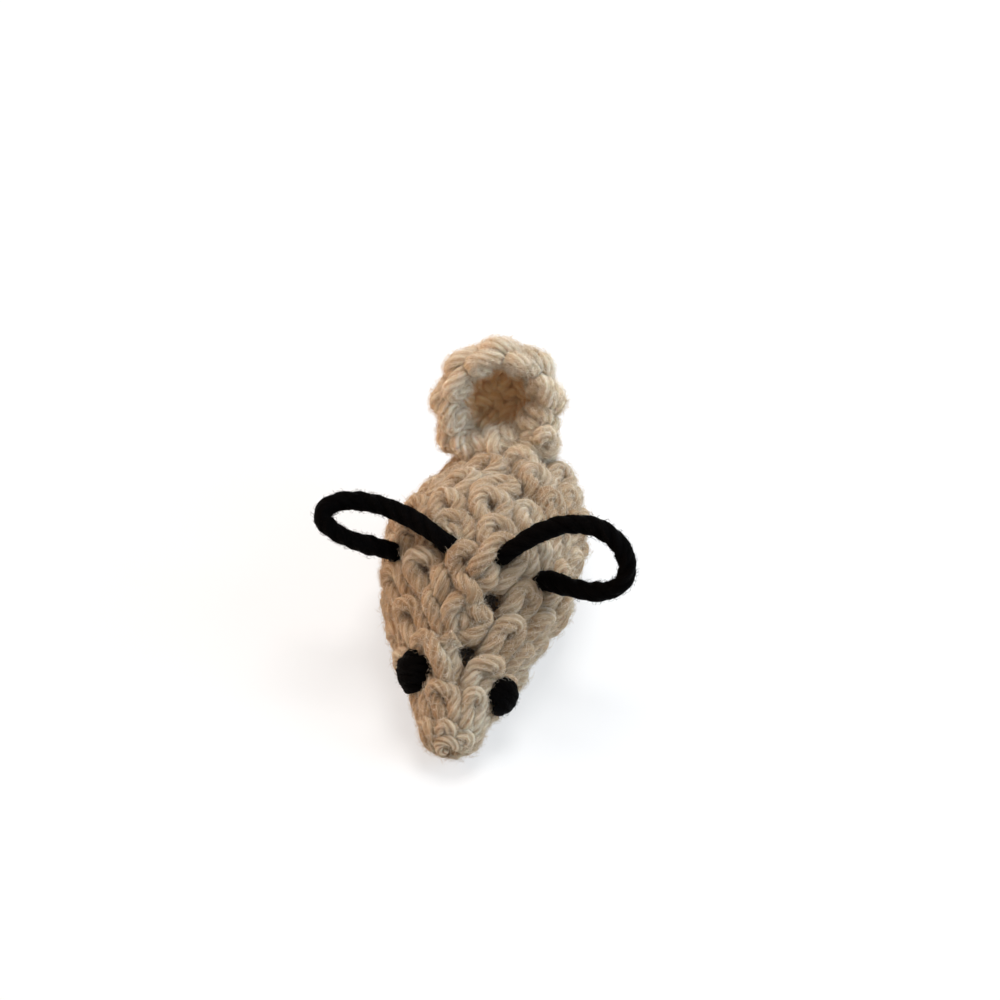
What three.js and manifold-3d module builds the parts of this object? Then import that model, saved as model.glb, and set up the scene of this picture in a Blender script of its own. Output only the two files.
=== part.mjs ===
// A crocheted catnip mouse: a hollow yarn cover stuffed with two wads and a lump of catnip, ears and eyes of
// dark yarn, and a crocheted strip for a tail that curls round into a cup.
// Units are millimetres and degrees. The nose points along -Y, the mouse's left side is +X, and up is +Z.
// The origin is on the flat of the belly that it rests on, half way along the body.
import * as THREE from "three";
import { mergeVertices } from "three/addons/utils/BufferGeometryUtils.js";
import Module from "manifold-3d";

const wasm = await Module();
wasm.setup();

// Driving dimensions of the cover
const BODY_LENGTH = 43.0;
const BODY_WIDTH = 23.6;
const BODY_HEIGHT = 20.5;
const NOSE_RISE = 3.2;
const RUMP_RISE = 10.0;
const RUMP_LEAN = 1.8;
const BELLY_FLAT = 0.6;
const COVER_WALL = 4.0;
const SEAT_GAP = 0.3;

// The stitches that the cover is worked in: one spiral of single crochet from the nose to the rump, clockwise
// seen from behind. Each stitch stands on one of the round before and swells out between its neighbours.
const ROUND_STITCHES = [5, 6, 8, 10, 12, 13, 14, 13, 12, 10, 6];
const FIRST_STITCH_SHARE = -0.32;
const STITCH_LEAN_SHARE = 0.12;
const STITCH_TOP_SHARE = 0.25;
const LAST_ROUND_SHARE = 1.15;
const STITCH_RELIEF = 1.4;
const RELIEF_SHARE = 0.25;
const NOSE_OPENING = 0.9;
const RUMP_OPENING = 0.8;

// Half the section of the cover, as shares of the length from the nose and of the greatest half section.
const PROFILE_SHARES = [
  [0, 0],
  [0.004, 0.12],
  [0.03, 0.25],
  [0.1, 0.37],
  [0.2, 0.52],
  [0.32, 0.74],
  [0.44, 0.93],
  [0.54, 1],
  [0.65, 0.985],
  [0.76, 0.91],
  [0.87, 0.77],
  [0.95, 0.61],
  [0.99, 0.36],
  [1, 0],
];
const WIDEST_SHARE = 0.54;
const RISE_POWER = 1.8;

// The hollow and what fills it, as shares of the length from the nose.
const CAVITY_SHARES = [0.2, 0.87];
const HEAD_STUFFING_SHARES = [0.21, 0.42];
const CATNIP_SHARES = [0.43, 0.66];
const RUMP_STUFFING_SHARES = [0.67, 0.86];

// The drawn loops that start the cover at the nose and close it at the rump
const RING_YARN = 1.4;
const RING_RADIUS = 1.05;
const RING_ARC = 235;
const DRAWN_END = 3.4;
const NOSE_RING_SHARE = 0.02;
const CLOSING_RING_SHARE = 0.98;

// Eyes: a winding of dark yarn round one stitch each, and the thread that joins them through the head
const EYE_YARN = 1.4;
const EYE_COIL_RADIUS = 1.5;
const EYE_PITCH = 1.9;
const EYE_SINK = 0.6;
const EYE_TURNS = 2.6;
const EYE_THREAD = 1.2;
const RIGHT_EYE = { alongShare: 0.192, around: -64, lean: 26 };
const LEFT_EYE = { alongShare: 0.172, around: 82, lean: 0 };

// Ears: one length of thick dark yarn, laid in a loop on each side of the crown
const EAR_YARN = 2.2;
const EAR_END_BALL = 2.6;
const EAR_ENTRY_DEPTH = 0.7;
const EAR_KNOT = 3.0;
const EAR_RISE = 3.2;
const EAR_RISE_POWER = 0.5;
const EAR_FUNNEL = 3.5;
const EAR_LEAN = 32;
const TEARDROP_SHARE = 1.3;
const RIGHT_EAR = {
  inner: { alongShare: 0.445, around: -13 },
  outer: { alongShare: 0.485, around: -60 },
  reach: 10.4,
  halfWidth: 2.1,
  headingAngle: 166,
  liftAngle: 12,
  rollAngle: 10,
  tiltAngles: [-12, 45],
};
const LEFT_EAR = {
  inner: { alongShare: 0.435, around: 18 },
  outer: { alongShare: 0.438, around: 54 },
  reach: 11.0,
  halfWidth: 2.9,
  headingAngle: 4,
  liftAngle: 16,
  rollAngle: -133,
  tiltAngles: [-22, 40],
};

// Tail: a crocheted strip from the top of the rump that curls round the axis of a cup
const TAIL_WIDTH = 7.2;
const TAIL_THICKNESS = 3.8;
const TAIL_ROOT_BALL = 5.4;
const TAIL_ROOT_SINK = 0.7;
const TAIL_FUNNEL = 5.5;
const TAIL_LEAN = 12;
const SWING_SPARE = 5;
const TAIL_ROOT = { alongShare: 0.925, around: 12 };
const CURL_ASIDE = 4.3;
const CURL_BEHIND = 5.9;
const CURL_ABOVE = 5.2;
const CURL_RADIUS = 4.7;
const CURL_AXIS = { azimuth: 9, elevation: 22 };
const CURL_TURN = [-28, 240];
const CURL_POINTS = 12;
const FLARE = [84, 36];
const FLARED_SHARE = 0.42;
const NOD_SHARE = 0.24;
const TIP_SHARE = 0.66;
const SWAY_RANGE = [-20, 12];
const NOD_RANGE = [-20, 50];
const TIP_RANGE = [0, 45];

// How finely the forms are faceted
const COVER_RINGS = 50;
const COVER_SIDES = 56;
const HOLLOW_RINGS = 10;
const HOLLOW_SIDES = 18;
const LOOP_STEPS = 26;
const YARN_SIDES = 8;
const COIL_STEPS = 36;
const COIL_SIDES = 6;
const STRIP_STEPS = 8;
const STADIUM_SIDES = 14;
const BALL_SIDES = 12;
const BALL_RINGS = 8;
const CAP_RINGS = 4;
const PROFILE_SAMPLES = 400;
const SLOPE_SHARE = 0.002;
const SLOPE_ANGLE = 1;
const FULL_TURN = 360;
const GAP_SAMPLES = 160;

const Y_AXIS = new THREE.Vector3(0, 1, 0);
const Z_AXIS = new THREE.Vector3(0, 0, 1);
const { degToRad, lerp, smoothstep } = THREE.MathUtils;

const CREAM = new THREE.MeshStandardMaterial({ color: 0xcbb79a, roughness: 0.95, metalness: 0 });
const DARK = new THREE.MeshStandardMaterial({ color: 0x17171a, roughness: 0.9, metalness: 0 });
const WADDING = new THREE.MeshStandardMaterial({ color: 0xf1eee6, roughness: 1, metalness: 0 });
const CATNIP = new THREE.MeshStandardMaterial({ color: 0x55593a, roughness: 1, metalness: 0 });

// Solids from geometries, and back

function solidOf(geometry) {
  const bare = geometry.clone();
  bare.deleteAttribute("normal");
  bare.deleteAttribute("uv");
  const merged = mergeVertices(bare);
  const corners = merged.index.array;
  const faces = [];
  for (let i = 0; i < corners.length; i += 3) {
    const [a, b, c] = corners.slice(i, i + 3);
    if (a !== b && b !== c && c !== a) faces.push(a, b, c);
  }
  const vertProperties = new Float32Array(merged.attributes.position.array);
  const triVerts = new Uint32Array(faces);
  return new wasm.Manifold(new wasm.Mesh({ numProp: 3, vertProperties, triVerts }));
}

function geometryOf(solid) {
  const mesh = solid.getMesh();
  const geometry = new THREE.BufferGeometry();
  geometry.setAttribute("position", new THREE.BufferAttribute(mesh.vertProperties, 3));
  geometry.setIndex(new THREE.BufferAttribute(mesh.triVerts, 1));
  return geometry;
}

function union(solids) {
  return solids.reduce((whole, next) => whole.add(next));
}

// Basic forms

function ball(centre, diameter) {
  const geometry = new THREE.SphereGeometry(diameter / 2, BALL_SIDES, BALL_RINGS);
  return solidOf(geometry.translate(centre.x, centre.y, centre.z));
}

function placedAlong(geometry, centre, axis) {
  geometry.applyQuaternion(new THREE.Quaternion().setFromUnitVectors(Y_AXIS, axis));
  return solidOf(geometry.translate(centre.x, centre.y, centre.z));
}

function rod(from, to, diameter) {
  const reach = to.clone().sub(from);
  const geometry = new THREE.CylinderGeometry(diameter / 2, diameter / 2, reach.length(), YARN_SIDES);
  return placedAlong(geometry, from.clone().add(to).divideScalar(2), reach.normalize());
}

function capsule(centre, axis, diameter, length) {
  const straight = length - diameter;
  const geometry = new THREE.CapsuleGeometry(diameter / 2, straight, CAP_RINGS, BALL_SIDES);
  return placedAlong(geometry, centre, axis);
}

// A ring with straight sides and round ends, its width along across and its thickness along through.
function stadiumRing(point, across, through, width, thickness) {
  return Array.from({ length: STADIUM_SIDES }, (_, k) => {
    const angle = (2 * Math.PI * (k + 1 / 2)) / STADIUM_SIDES;
    const straight = (Math.sign(Math.cos(angle)) * (width - thickness)) / 2;
    return point
      .clone()
      .addScaledVector(across, straight + (thickness / 2) * Math.cos(angle))
      .addScaledVector(through, (thickness / 2) * Math.sin(angle));
  });
}

// The room that a strand or strip needs to swing about the point where it leaves the cover.
function funnel({ point, across, through, width, thickness, length, swing, lean }) {
  const mouth = point.clone().addScaledVector(across.clone().cross(through), length);
  const mouthWidth = width + 2 * length * Math.tan(degToRad(swing));
  const mouthThickness = thickness + 2 * length * Math.tan(degToRad(lean));
  return loft([
    stadiumRing(point, across, through, width, thickness),
    stadiumRing(mouth, across, through, mouthWidth, mouthThickness),
  ]);
}

function yarn(curve, diameter, steps, sides) {
  const corners = Array.from({ length: sides }, (_, k) => {
    const angle = (2 * Math.PI * k) / sides;
    return new THREE.Vector2(Math.cos(angle), Math.sin(angle)).multiplyScalar(diameter / 2);
  });
  const section = new THREE.Shape(corners);
  return solidOf(new THREE.ExtrudeGeometry(section, { steps, extrudePath: curve, bevelEnabled: false }));
}

// A closed skin over rings of points. Each ring runs counterclockwise seen from the ring after it, and a fan
// of faces closes each end.
function loft(rings) {
  const count = rings[0].length;
  const points = rings.flat();
  const index = [];
  for (let i = 0; i + 1 < rings.length; i++) {
    for (let j = 0; j < count; j++) {
      const a = i * count + j;
      const b = i * count + ((j + 1) % count);
      index.push(a, b, b + count, a, b + count, a + count);
    }
  }
  const ends = [rings[0], rings[rings.length - 1]];
  const starts = [0, points.length - count];
  ends.forEach((ring, end) => {
    const centre = points.length;
    points.push(ring.reduce((sum, p) => sum.add(p), new THREE.Vector3()).divideScalar(count));
    for (let j = 0; j < count; j++) {
      const a = starts[end] + j;
      const b = starts[end] + ((j + 1) % count);
      index.push(centre, ...(end === 1 ? [a, b] : [b, a]));
    }
  });
  const geometry = new THREE.BufferGeometry().setFromPoints(points);
  geometry.setIndex(index);
  return solidOf(geometry);
}

// The least clear distance between parts of a winding that are not next to each other along it.
function leastGap(curve, diameter) {
  const points = curve.getSpacedPoints(GAP_SAMPLES);
  const apart = Math.ceil((2 * diameter * GAP_SAMPLES) / curve.getLength());
  let least = Infinity;
  for (let i = 0; i < points.length; i++) {
    for (let j = i + apart; j < points.length; j++) {
      least = Math.min(least, points[i].distanceTo(points[j]) - diameter);
    }
  }
  return least;
}

// The cover's form

const profile = new THREE.SplineCurve(PROFILE_SHARES.map((shares) => new THREE.Vector2(...shares)));
const profilePoints = profile.getPoints(PROFILE_SAMPLES);

function swellAt(alongShare) {
  const next = profilePoints.findIndex((p) => p.x >= alongShare);
  if (next <= 0) return 0;
  const before = profilePoints[next - 1];
  const after = profilePoints[next];
  const swell = lerp(before.y, after.y, (alongShare - before.x) / (after.x - before.x));
  return Math.min(1, Math.max(0, swell));
}

function sectionAt(alongShare) {
  const swell = swellAt(alongShare);
  const rise = alongShare < WIDEST_SHARE ? NOSE_RISE : RUMP_RISE;
  return {
    x: RUMP_LEAN * smoothstep(alongShare, WIDEST_SHARE, 1),
    y: BODY_LENGTH * alongShare - BODY_LENGTH / 2,
    halfWidth: (BODY_WIDTH / 2) * swell,
    halfHeight: (BODY_HEIGHT / 2) * swell,
    height: rise * (1 - swell) ** RISE_POWER + (BODY_HEIGHT / 2) * swell - BELLY_FLAT,
  };
}

function bodyPoint(alongShare, around, inset) {
  const { x, y, halfWidth, halfHeight, height } = sectionAt(alongShare);
  const angle = degToRad(around);
  const side = x + (halfWidth - inset) * Math.sin(angle);
  return new THREE.Vector3(side, y, height + (halfHeight - inset) * Math.cos(angle));
}

// A place on the cover: its point, the normal, the direction towards the tail and the one across both.
function placeOn({ alongShare, around }) {
  const point = bodyPoint(alongShare, around, 0);
  const along = bodyPoint(alongShare + SLOPE_SHARE, around, 0).sub(point).normalize();
  const round = bodyPoint(alongShare, around + SLOPE_ANGLE, 0).sub(point);
  const normal = round.cross(along).normalize();
  return { point, normal, along, across: along.clone().cross(normal) };
}

function beneath(place, depth) {
  return place.point.clone().addScaledVector(place.normal, -depth);
}

// How far the skin runs from the nose to evenly spaced shares of the length, along its mean outline.
const skinRuns = [0];
for (let i = 1; i <= PROFILE_SAMPLES; i++) {
  const [before, after] = [i - 1, i].map((k) => sectionAt(k / PROFILE_SAMPLES));
  const widening = after.halfWidth + after.halfHeight - before.halfWidth - before.halfHeight;
  skinRuns.push(skinRuns[i - 1] + Math.hypot(after.y - before.y, widening / 2));
}
const skinLength = skinRuns[PROFILE_SAMPLES];

function shareAtRun(run) {
  const next = Math.max(1, skinRuns.findIndex((r) => r >= run));
  return (next - (skinRuns[next] - run) / (skinRuns[next] - skinRuns[next - 1])) / PROFILE_SAMPLES;
}

// Each stitch's top and foot, in turns of the spiral worked so far and in millimetres along the skin.
function layStitches() {
  const stitches = ROUND_STITCHES.flatMap((count, round) =>
    Array.from({ length: count }, (_, k) => ({ turns: round + (k + 1 / 2) / count, width: 1 / count })),
  );
  const roundHeight = (skinLength - RUMP_OPENING) / (ROUND_STITCHES.length - 1 + LAST_ROUND_SHARE);
  for (const stitch of stitches) stitch.top = (stitch.turns + STITCH_TOP_SHARE) * roundHeight;
  for (const stitch of stitches) {
    const below = stitch.turns - 1 - STITCH_LEAN_SHARE * stitch.width;
    const apart = stitches.map((other) => Math.abs(other.turns - below));
    const parent = stitches[apart.indexOf(Math.min(...apart))];
    const standsOnRing = stitch.turns <= 1;
    stitch.foot = standsOnRing ? NOSE_OPENING : parent.top;
    stitch.footTurns = standsOnRing ? stitch.turns : parent.turns + 1;
  }
  return stitches;
}

const stitches = layStitches();

// A hump that is 1 in the middle and falls to 0 half a width to each side.
function hump(offset) {
  return Math.cos(Math.PI * Math.min(1 / 2, Math.abs(offset)));
}

// How far the skin lies sunk between the stitches, at a run along it and an angle round it.
function sunkAt(run, around) {
  const worked = FIRST_STITCH_SHARE - around / FULL_TURN;
  let swell = 0;
  for (const { foot, top, footTurns, turns, width } of stitches) {
    const up = (run - foot) / (top - foot);
    if (up < 0 || up > 1) continue;
    const apart = worked - lerp(footTurns, turns, up);
    swell = Math.max(swell, hump((apart - Math.round(apart)) / width) * hump(up - 1 / 2));
  }
  return 1 - swell;
}

// How much of the relief a point of the skin has. It is pulled flat round the eyes and over the ear bridge, and
// pressed flat where the mouse rests.
function reliefAt(point) {
  const raised = smoothstep(point.z, 0, STITCH_RELIEF);
  const crown = ears.right.start.clone().lerp(ears.left.start, 1 / 2);
  const calm = [
    { centre: eyes.right.point, reach: EYE_REACH },
    { centre: eyes.left.point, reach: EYE_REACH },
    { centre: crown, reach: EAR_YARN },
  ];
  const clear = calm.map(({ centre, reach }) => smoothstep(point.distanceTo(centre), reach, 2 * reach));
  return Math.min(raised, ...clear);
}

// The cover's skin with its stitches, which are lower where the body is slim.
function stitchedForm() {
  const rings = Array.from({ length: COVER_RINGS }, (_, i) => {
    const run = (skinLength * (i + 1 / 2)) / COVER_RINGS;
    const share = shareAtRun(run);
    const relief = Math.min(STITCH_RELIEF, RELIEF_SHARE * sectionAt(share).halfWidth);
    return Array.from({ length: COVER_SIDES }, (__, k) => {
      const around = (FULL_TURN * k) / COVER_SIDES;
      const depth = relief * reliefAt(bodyPoint(share, around, 0)) * sunkAt(run, around);
      return bodyPoint(share, around, depth);
    });
  });
  return loft(rings);
}

// The cover's form between two shares of its length, drawn in by an inset.
function bodyForm([from, to], inset, ringCount, sides) {
  const rings = Array.from({ length: ringCount }, (_, i) => {
    const share = lerp(from, to, (1 - Math.cos((Math.PI * i) / (ringCount - 1))) / 2);
    return Array.from({ length: sides }, (__, k) => bodyPoint(share, (FULL_TURN * k) / sides, inset));
  });
  return loft(rings);
}

// Drawn loops at the nose and the rump

class DrawnLoop extends THREE.Curve {
  constructor(alongShare, inward) {
    super();
    const { x, y, height } = sectionAt(alongShare);
    this.centre = new THREE.Vector3(x, y, height);
    this.inward = inward;
    this.arcLength = degToRad(RING_ARC) * RING_RADIUS;
    this.whole = this.arcLength + DRAWN_END;
  }

  // Round the ring at a steady rate, then straight inside from where the ring ends.
  getPoint(t, target = new THREE.Vector3()) {
    const travelled = t * this.whole;
    const angle = Math.min(travelled, this.arcLength) / RING_RADIUS;
    const drawn = Math.max(0, travelled - this.arcLength);
    target.set(RING_RADIUS * Math.cos(angle), this.inward * drawn, RING_RADIUS * Math.sin(angle));
    return target.add(this.centre);
  }
}

const noseLoop = new DrawnLoop(NOSE_RING_SHARE, 1);
const closingLoop = new DrawnLoop(CLOSING_RING_SHARE, -1);

// Eyes

class Coil extends THREE.Curve {
  constructor({ point, axis, outward }) {
    super();
    Object.assign(this, { point, axis, outward, side: axis.clone().cross(outward) });
  }

  getPoint(t, target = new THREE.Vector3()) {
    const turns = EYE_TURNS * (t - 1 / 2);
    const angle = 2 * Math.PI * turns;
    return target
      .copy(this.point)
      .addScaledVector(this.axis, EYE_PITCH * turns)
      .addScaledVector(this.outward, EYE_COIL_RADIUS * Math.cos(angle))
      .addScaledVector(this.side, EYE_COIL_RADIUS * Math.sin(angle));
  }
}

function eyeAt(eye) {
  const place = placeOn(eye);
  const lean = degToRad(eye.lean);
  const axis = place.along.clone().multiplyScalar(Math.cos(lean));
  axis.addScaledVector(place.across, Math.sin(lean));
  const point = beneath(place, EYE_SINK);
  return { point, axis, outward: place.normal, curve: new Coil({ point, axis, outward: place.normal }) };
}

const EYE_ROUND = 2 * EYE_COIL_RADIUS + EYE_YARN + 2 * SEAT_GAP;
const EYE_SPAN = EYE_PITCH * EYE_TURNS;
const EYE_STITCH = 2 * EYE_COIL_RADIUS - EYE_YARN - 2 * SEAT_GAP;
const EYE_REACH = EYE_SPAN / 2 + EYE_ROUND / 2;
const eyes = { right: eyeAt(RIGHT_EYE), left: eyeAt(LEFT_EYE) };

function rodThrough({ point, axis }, reach, diameter) {
  const from = point.clone().addScaledVector(axis, -reach);
  const to = point.clone().addScaledVector(axis, reach);
  return rod(from, to, diameter);
}

function eyeRecess(eye) {
  return rodThrough(eye, (EYE_SPAN + EYE_YARN) / 2 + SEAT_GAP, EYE_ROUND + SEAT_GAP);
}

// The stitch that the yarn winds round, which runs on into the cover at both ends.
function eyeStitch(eye) {
  return rodThrough(eye, EYE_REACH, EYE_STITCH);
}

const eyeToEye = eyes.left.point.clone().sub(eyes.right.point).normalize();
const threadStart = eyes.right.point.clone().addScaledVector(eyeToEye, EYE_ROUND / 2);
const threadEnd = eyes.left.point.clone().addScaledVector(eyeToEye, -EYE_ROUND / 2);

// Ears

class EarLoop extends THREE.Curve {
  constructor(form) {
    super();
    Object.assign(this, form);
  }

  // A teardrop: up from the inner entry and outwards, round the tip and back down to the outer entry.
  getPoint(t, target = new THREE.Vector3()) {
    const angle = 2 * Math.PI * t;
    const bulge = TEARDROP_SHARE * Math.sin(angle) * Math.sin(angle / 2);
    return target
      .copy(this.inner)
      .lerp(this.outer, t - Math.sin(angle) / (2 * Math.PI))
      .addScaledVector(this.upward, EAR_RISE * Math.sin(angle / 2) ** EAR_RISE_POWER)
      .addScaledVector(this.outward, (this.reach * (1 - Math.cos(angle))) / 2)
      .addScaledVector(this.sideways, this.halfWidth * bulge);
  }
}

function earAt(ear) {
  const inner = placeOn(ear.inner);
  const outer = placeOn(ear.outer);
  const start = beneath(inner, EAR_ENTRY_DEPTH);
  const end = beneath(outer, EAR_ENTRY_DEPTH);
  const heading = degToRad(ear.headingAngle);
  const lift = degToRad(ear.liftAngle);
  const level = new THREE.Vector3(Math.cos(heading), Math.sin(heading), 0).multiplyScalar(Math.cos(lift));
  const outward = level.addScaledVector(Z_AXIS, Math.sin(lift));
  const sideways = outward.clone().cross(Z_AXIS).normalize().applyAxisAngle(outward, degToRad(ear.rollAngle));
  const axis = end.clone().sub(start).normalize();
  const upright = inner.normal.clone().add(outer.normal);
  const across = axis.clone().cross(upright).normalize();
  const upward = across.clone().cross(axis);
  const knotDepth = EAR_ENTRY_DEPTH + EAR_END_BALL / 2 + SEAT_GAP + EAR_KNOT / 2;
  return {
    start,
    end,
    axis,
    across,
    curve: new EarLoop({ ...ear, inner: start, outer: end, upward, outward, sideways }),
    knot: beneath(outer, knotDepth),
    swing: SWING_SPARE + Math.max(...ear.tiltAngles.map(Math.abs)),
  };
}

function earForm(ear) {
  const ends = [ear.start, ear.end].map((point) => ball(point, EAR_END_BALL));
  return union([yarn(ear.curve, EAR_YARN, LOOP_STEPS, YARN_SIDES), ...ends]);
}

// The two sockets that an ear's ends turn in, each open to the outside.
function earSockets(ear) {
  const room = EAR_END_BALL + 2 * SEAT_GAP;
  const form = { width: room, thickness: room, length: EAR_FUNNEL, swing: ear.swing, lean: EAR_LEAN };
  return [ear.start, ear.end].flatMap((point) => [
    ball(point, room),
    funnel({ point, across: ear.across, through: ear.axis, ...form }),
  ]);
}

const ears = { right: earAt(RIGHT_EAR), left: earAt(LEFT_EAR) };
const crown = ears.left.start.clone().sub(ears.right.start).normalize();
const bridgeInset = EAR_END_BALL / 2 + SEAT_GAP;
const bridgeStart = ears.right.start.clone().addScaledVector(crown, bridgeInset);
const bridgeEnd = ears.left.start.clone().addScaledVector(crown, -bridgeInset);

// Tail

const rootPlace = placeOn(TAIL_ROOT);
const cupAxis = new THREE.Vector3(0, -1, 0);
cupAxis.applyAxisAngle(new THREE.Vector3(1, 0, 0), -degToRad(CURL_AXIS.elevation));
cupAxis.applyAxisAngle(Z_AXIS, degToRad(CURL_AXIS.azimuth));
const cupAcross = new THREE.Vector3(1, 0, 0).applyAxisAngle(Z_AXIS, degToRad(CURL_AXIS.azimuth));
const cupUp = cupAxis.clone().cross(cupAcross);
const cupCentre = rootPlace.point.clone().add(new THREE.Vector3(-CURL_ASIDE, CURL_BEHIND, CURL_ABOVE));

function cupPoint(degrees) {
  const angle = degToRad(degrees);
  return cupCentre
    .clone()
    .addScaledVector(cupAcross, CURL_RADIUS * Math.cos(angle))
    .addScaledVector(cupUp, CURL_RADIUS * Math.sin(angle));
}

const curlPoints = Array.from({ length: CURL_POINTS }, (_, k) => {
  return cupPoint(lerp(...CURL_TURN, k / (CURL_POINTS - 1)));
});
const tailPath = new THREE.CatmullRomCurve3([beneath(rootPlace, TAIL_ROOT_SINK), ...curlPoints]);

// The strip's section at a share of its length: across is its width and through is its thickness.
function stripAt(share) {
  const point = tailPath.getPointAt(share);
  const tangent = tailPath.getTangentAt(share);
  const outward = tangent.clone().cross(cupAxis).normalize();
  const forward = outward.clone().cross(tangent);
  const flare = degToRad(lerp(...FLARE, smoothstep(share, 0, FLARED_SHARE)));
  const across = forward.multiplyScalar(Math.cos(flare)).addScaledVector(outward, Math.sin(flare));
  const width = lerp(TAIL_ROOT_BALL, TAIL_WIDTH, smoothstep(share, 0, NOD_SHARE));
  return { point, across, through: tangent.clone().cross(across), width };
}

function strip(from, to) {
  const rings = Array.from({ length: STRIP_STEPS + 1 }, (_, i) => {
    const { point, across, through, width } = stripAt(lerp(from, to, i / STRIP_STEPS));
    return stadiumRing(point, across, through, width, TAIL_THICKNESS);
  });
  return loft(rings);
}

// The rounded edge that a length of the strip turns on, or the groove for it with a clearance.
function knuckle(share, clearance) {
  const { point, across, width } = stripAt(share);
  return capsule(point, across, TAIL_THICKNESS + 2 * clearance, width + 2 * clearance);
}

// Positive angles open the curl out.
function tailHinge(share) {
  const { point, across } = stripAt(share);
  return { point, axis: across.negate() };
}

const root = stripAt(0);

// The dimple that the root ball turns in, and the room for the strip above it.
function tailSocket() {
  const width = TAIL_ROOT_BALL + 2 * SEAT_GAP;
  const thickness = TAIL_THICKNESS + 2 * SEAT_GAP;
  const swing = SWING_SPARE + Math.max(...SWAY_RANGE.map(Math.abs));
  const room = funnel({ ...root, width, thickness, length: TAIL_FUNNEL, swing, lean: TAIL_LEAN });
  return room.add(ball(root.point, width));
}

// The pieces

function makeCover() {
  const outer = stitchedForm();
  const floor = new THREE.BoxGeometry(BODY_WIDTH, BODY_LENGTH, BODY_HEIGHT).translate(0, 0, -BODY_HEIGHT / 2);
  const cuts = [
    solidOf(floor),
    bodyForm(CAVITY_SHARES, COVER_WALL, HOLLOW_RINGS, HOLLOW_SIDES),
    yarn(noseLoop, RING_YARN + 2 * SEAT_GAP, COIL_STEPS, COIL_SIDES),
    yarn(closingLoop, RING_YARN + 2 * SEAT_GAP, COIL_STEPS, COIL_SIDES),
    eyeRecess(eyes.right),
    eyeRecess(eyes.left),
    rod(eyes.right.point, eyes.left.point, EYE_THREAD + 2 * SEAT_GAP),
    rod(ears.right.start, ears.left.start, EAR_YARN + 2 * SEAT_GAP),
    tailSocket(),
  ];
  for (const ear of [ears.right, ears.left]) {
    cuts.push(...earSockets(ear));
    cuts.push(rod(ear.end, ear.knot, EAR_YARN + 2 * SEAT_GAP));
    cuts.push(ball(ear.knot, EAR_KNOT + 2 * SEAT_GAP));
  }
  const stitches = union([eyeStitch(eyes.right), eyeStitch(eyes.left)]);
  return outer.subtract(union(cuts)).add(stitches.intersect(outer));
}

function makeFilling(shares) {
  const knots = [ears.right, ears.left].map((ear) => ball(ear.knot, EAR_KNOT + 2 * SEAT_GAP));
  return bodyForm(shares, COVER_WALL + SEAT_GAP, HOLLOW_RINGS, HOLLOW_SIDES).subtract(union(knots));
}

function makeStem() {
  return strip(0, NOD_SHARE).add(ball(root.point, TAIL_ROOT_BALL)).subtract(knuckle(NOD_SHARE, SEAT_GAP));
}

function makeCurl() {
  return strip(NOD_SHARE, TIP_SHARE).add(knuckle(NOD_SHARE, 0)).subtract(knuckle(TIP_SHARE, SEAT_GAP));
}

function makeTip() {
  return union([strip(TIP_SHARE, 1), knuckle(TIP_SHARE, 0), knuckle(1, 0)]);
}

const mouse = new THREE.Group();

function addPiece(name, solid, material) {
  const mesh = new THREE.Mesh(geometryOf(solid), material);
  mesh.name = name;
  mouse.add(mesh);
}

addPiece("body_cover", makeCover(), CREAM);
addPiece("nose_ring", yarn(noseLoop, RING_YARN, COIL_STEPS, COIL_SIDES), CREAM);
addPiece("closing_ring", yarn(closingLoop, RING_YARN, COIL_STEPS, COIL_SIDES), CREAM);
addPiece("head_stuffing", makeFilling(HEAD_STUFFING_SHARES), WADDING);
addPiece("catnip_fill", makeFilling(CATNIP_SHARES), CATNIP);
addPiece("rump_stuffing", makeFilling(RUMP_STUFFING_SHARES), WADDING);
for (const side of ["right", "left"]) {
  addPiece(side + "_eye", yarn(eyes[side].curve, EYE_YARN, COIL_STEPS, COIL_SIDES), DARK);
  addPiece(side + "_ear", earForm(ears[side]), DARK);
  addPiece(side + "_ear_knot", ball(ears[side].knot, EAR_KNOT), DARK);
}
addPiece("eye_thread", rod(threadStart, threadEnd, EYE_THREAD), DARK);
addPiece("ear_bridge", rod(bridgeStart, bridgeEnd, EAR_YARN), DARK);
addPiece("tail_stem", makeStem(), CREAM);
addPiece("tail_curl", makeCurl(), CREAM);
addPiece("tail_tip", makeTip(), CREAM);

for (const side of ["right", "left"]) {
  console.log(side + "_eye least gap in the winding, mm:", leastGap(eyes[side].curve, EYE_YARN).toFixed(2));
  console.log(side + "_ear least gap in the loop, mm:", leastGap(ears[side].curve, EAR_YARN).toFixed(2));
}
console.log("nose_ring least gap in the loop, mm:", leastGap(noseLoop, RING_YARN).toFixed(2));
console.log("closing_ring least gap in the loop, mm:", leastGap(closingLoop, RING_YARN).toFixed(2));

// Each hinge's point, axis and range in degrees. A positive tilt leans an ear forward.
const rightEarAxis = ears.right.axis.clone().negate();
mouse.userData.hinges = {
  right_ear_tilt: { point: ears.right.start, axis: rightEarAxis, range: RIGHT_EAR.tiltAngles },
  left_ear_tilt: { point: ears.left.start, axis: ears.left.axis, range: LEFT_EAR.tiltAngles },
  tail_sway: { point: root.point, axis: root.through.clone().negate(), range: SWAY_RANGE },
  tail_nod: { ...tailHinge(NOD_SHARE), range: NOD_RANGE },
  tail_tip_bend: { ...tailHinge(TIP_SHARE), range: TIP_RANGE },
};

export default mouse;
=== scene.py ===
import math

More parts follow.
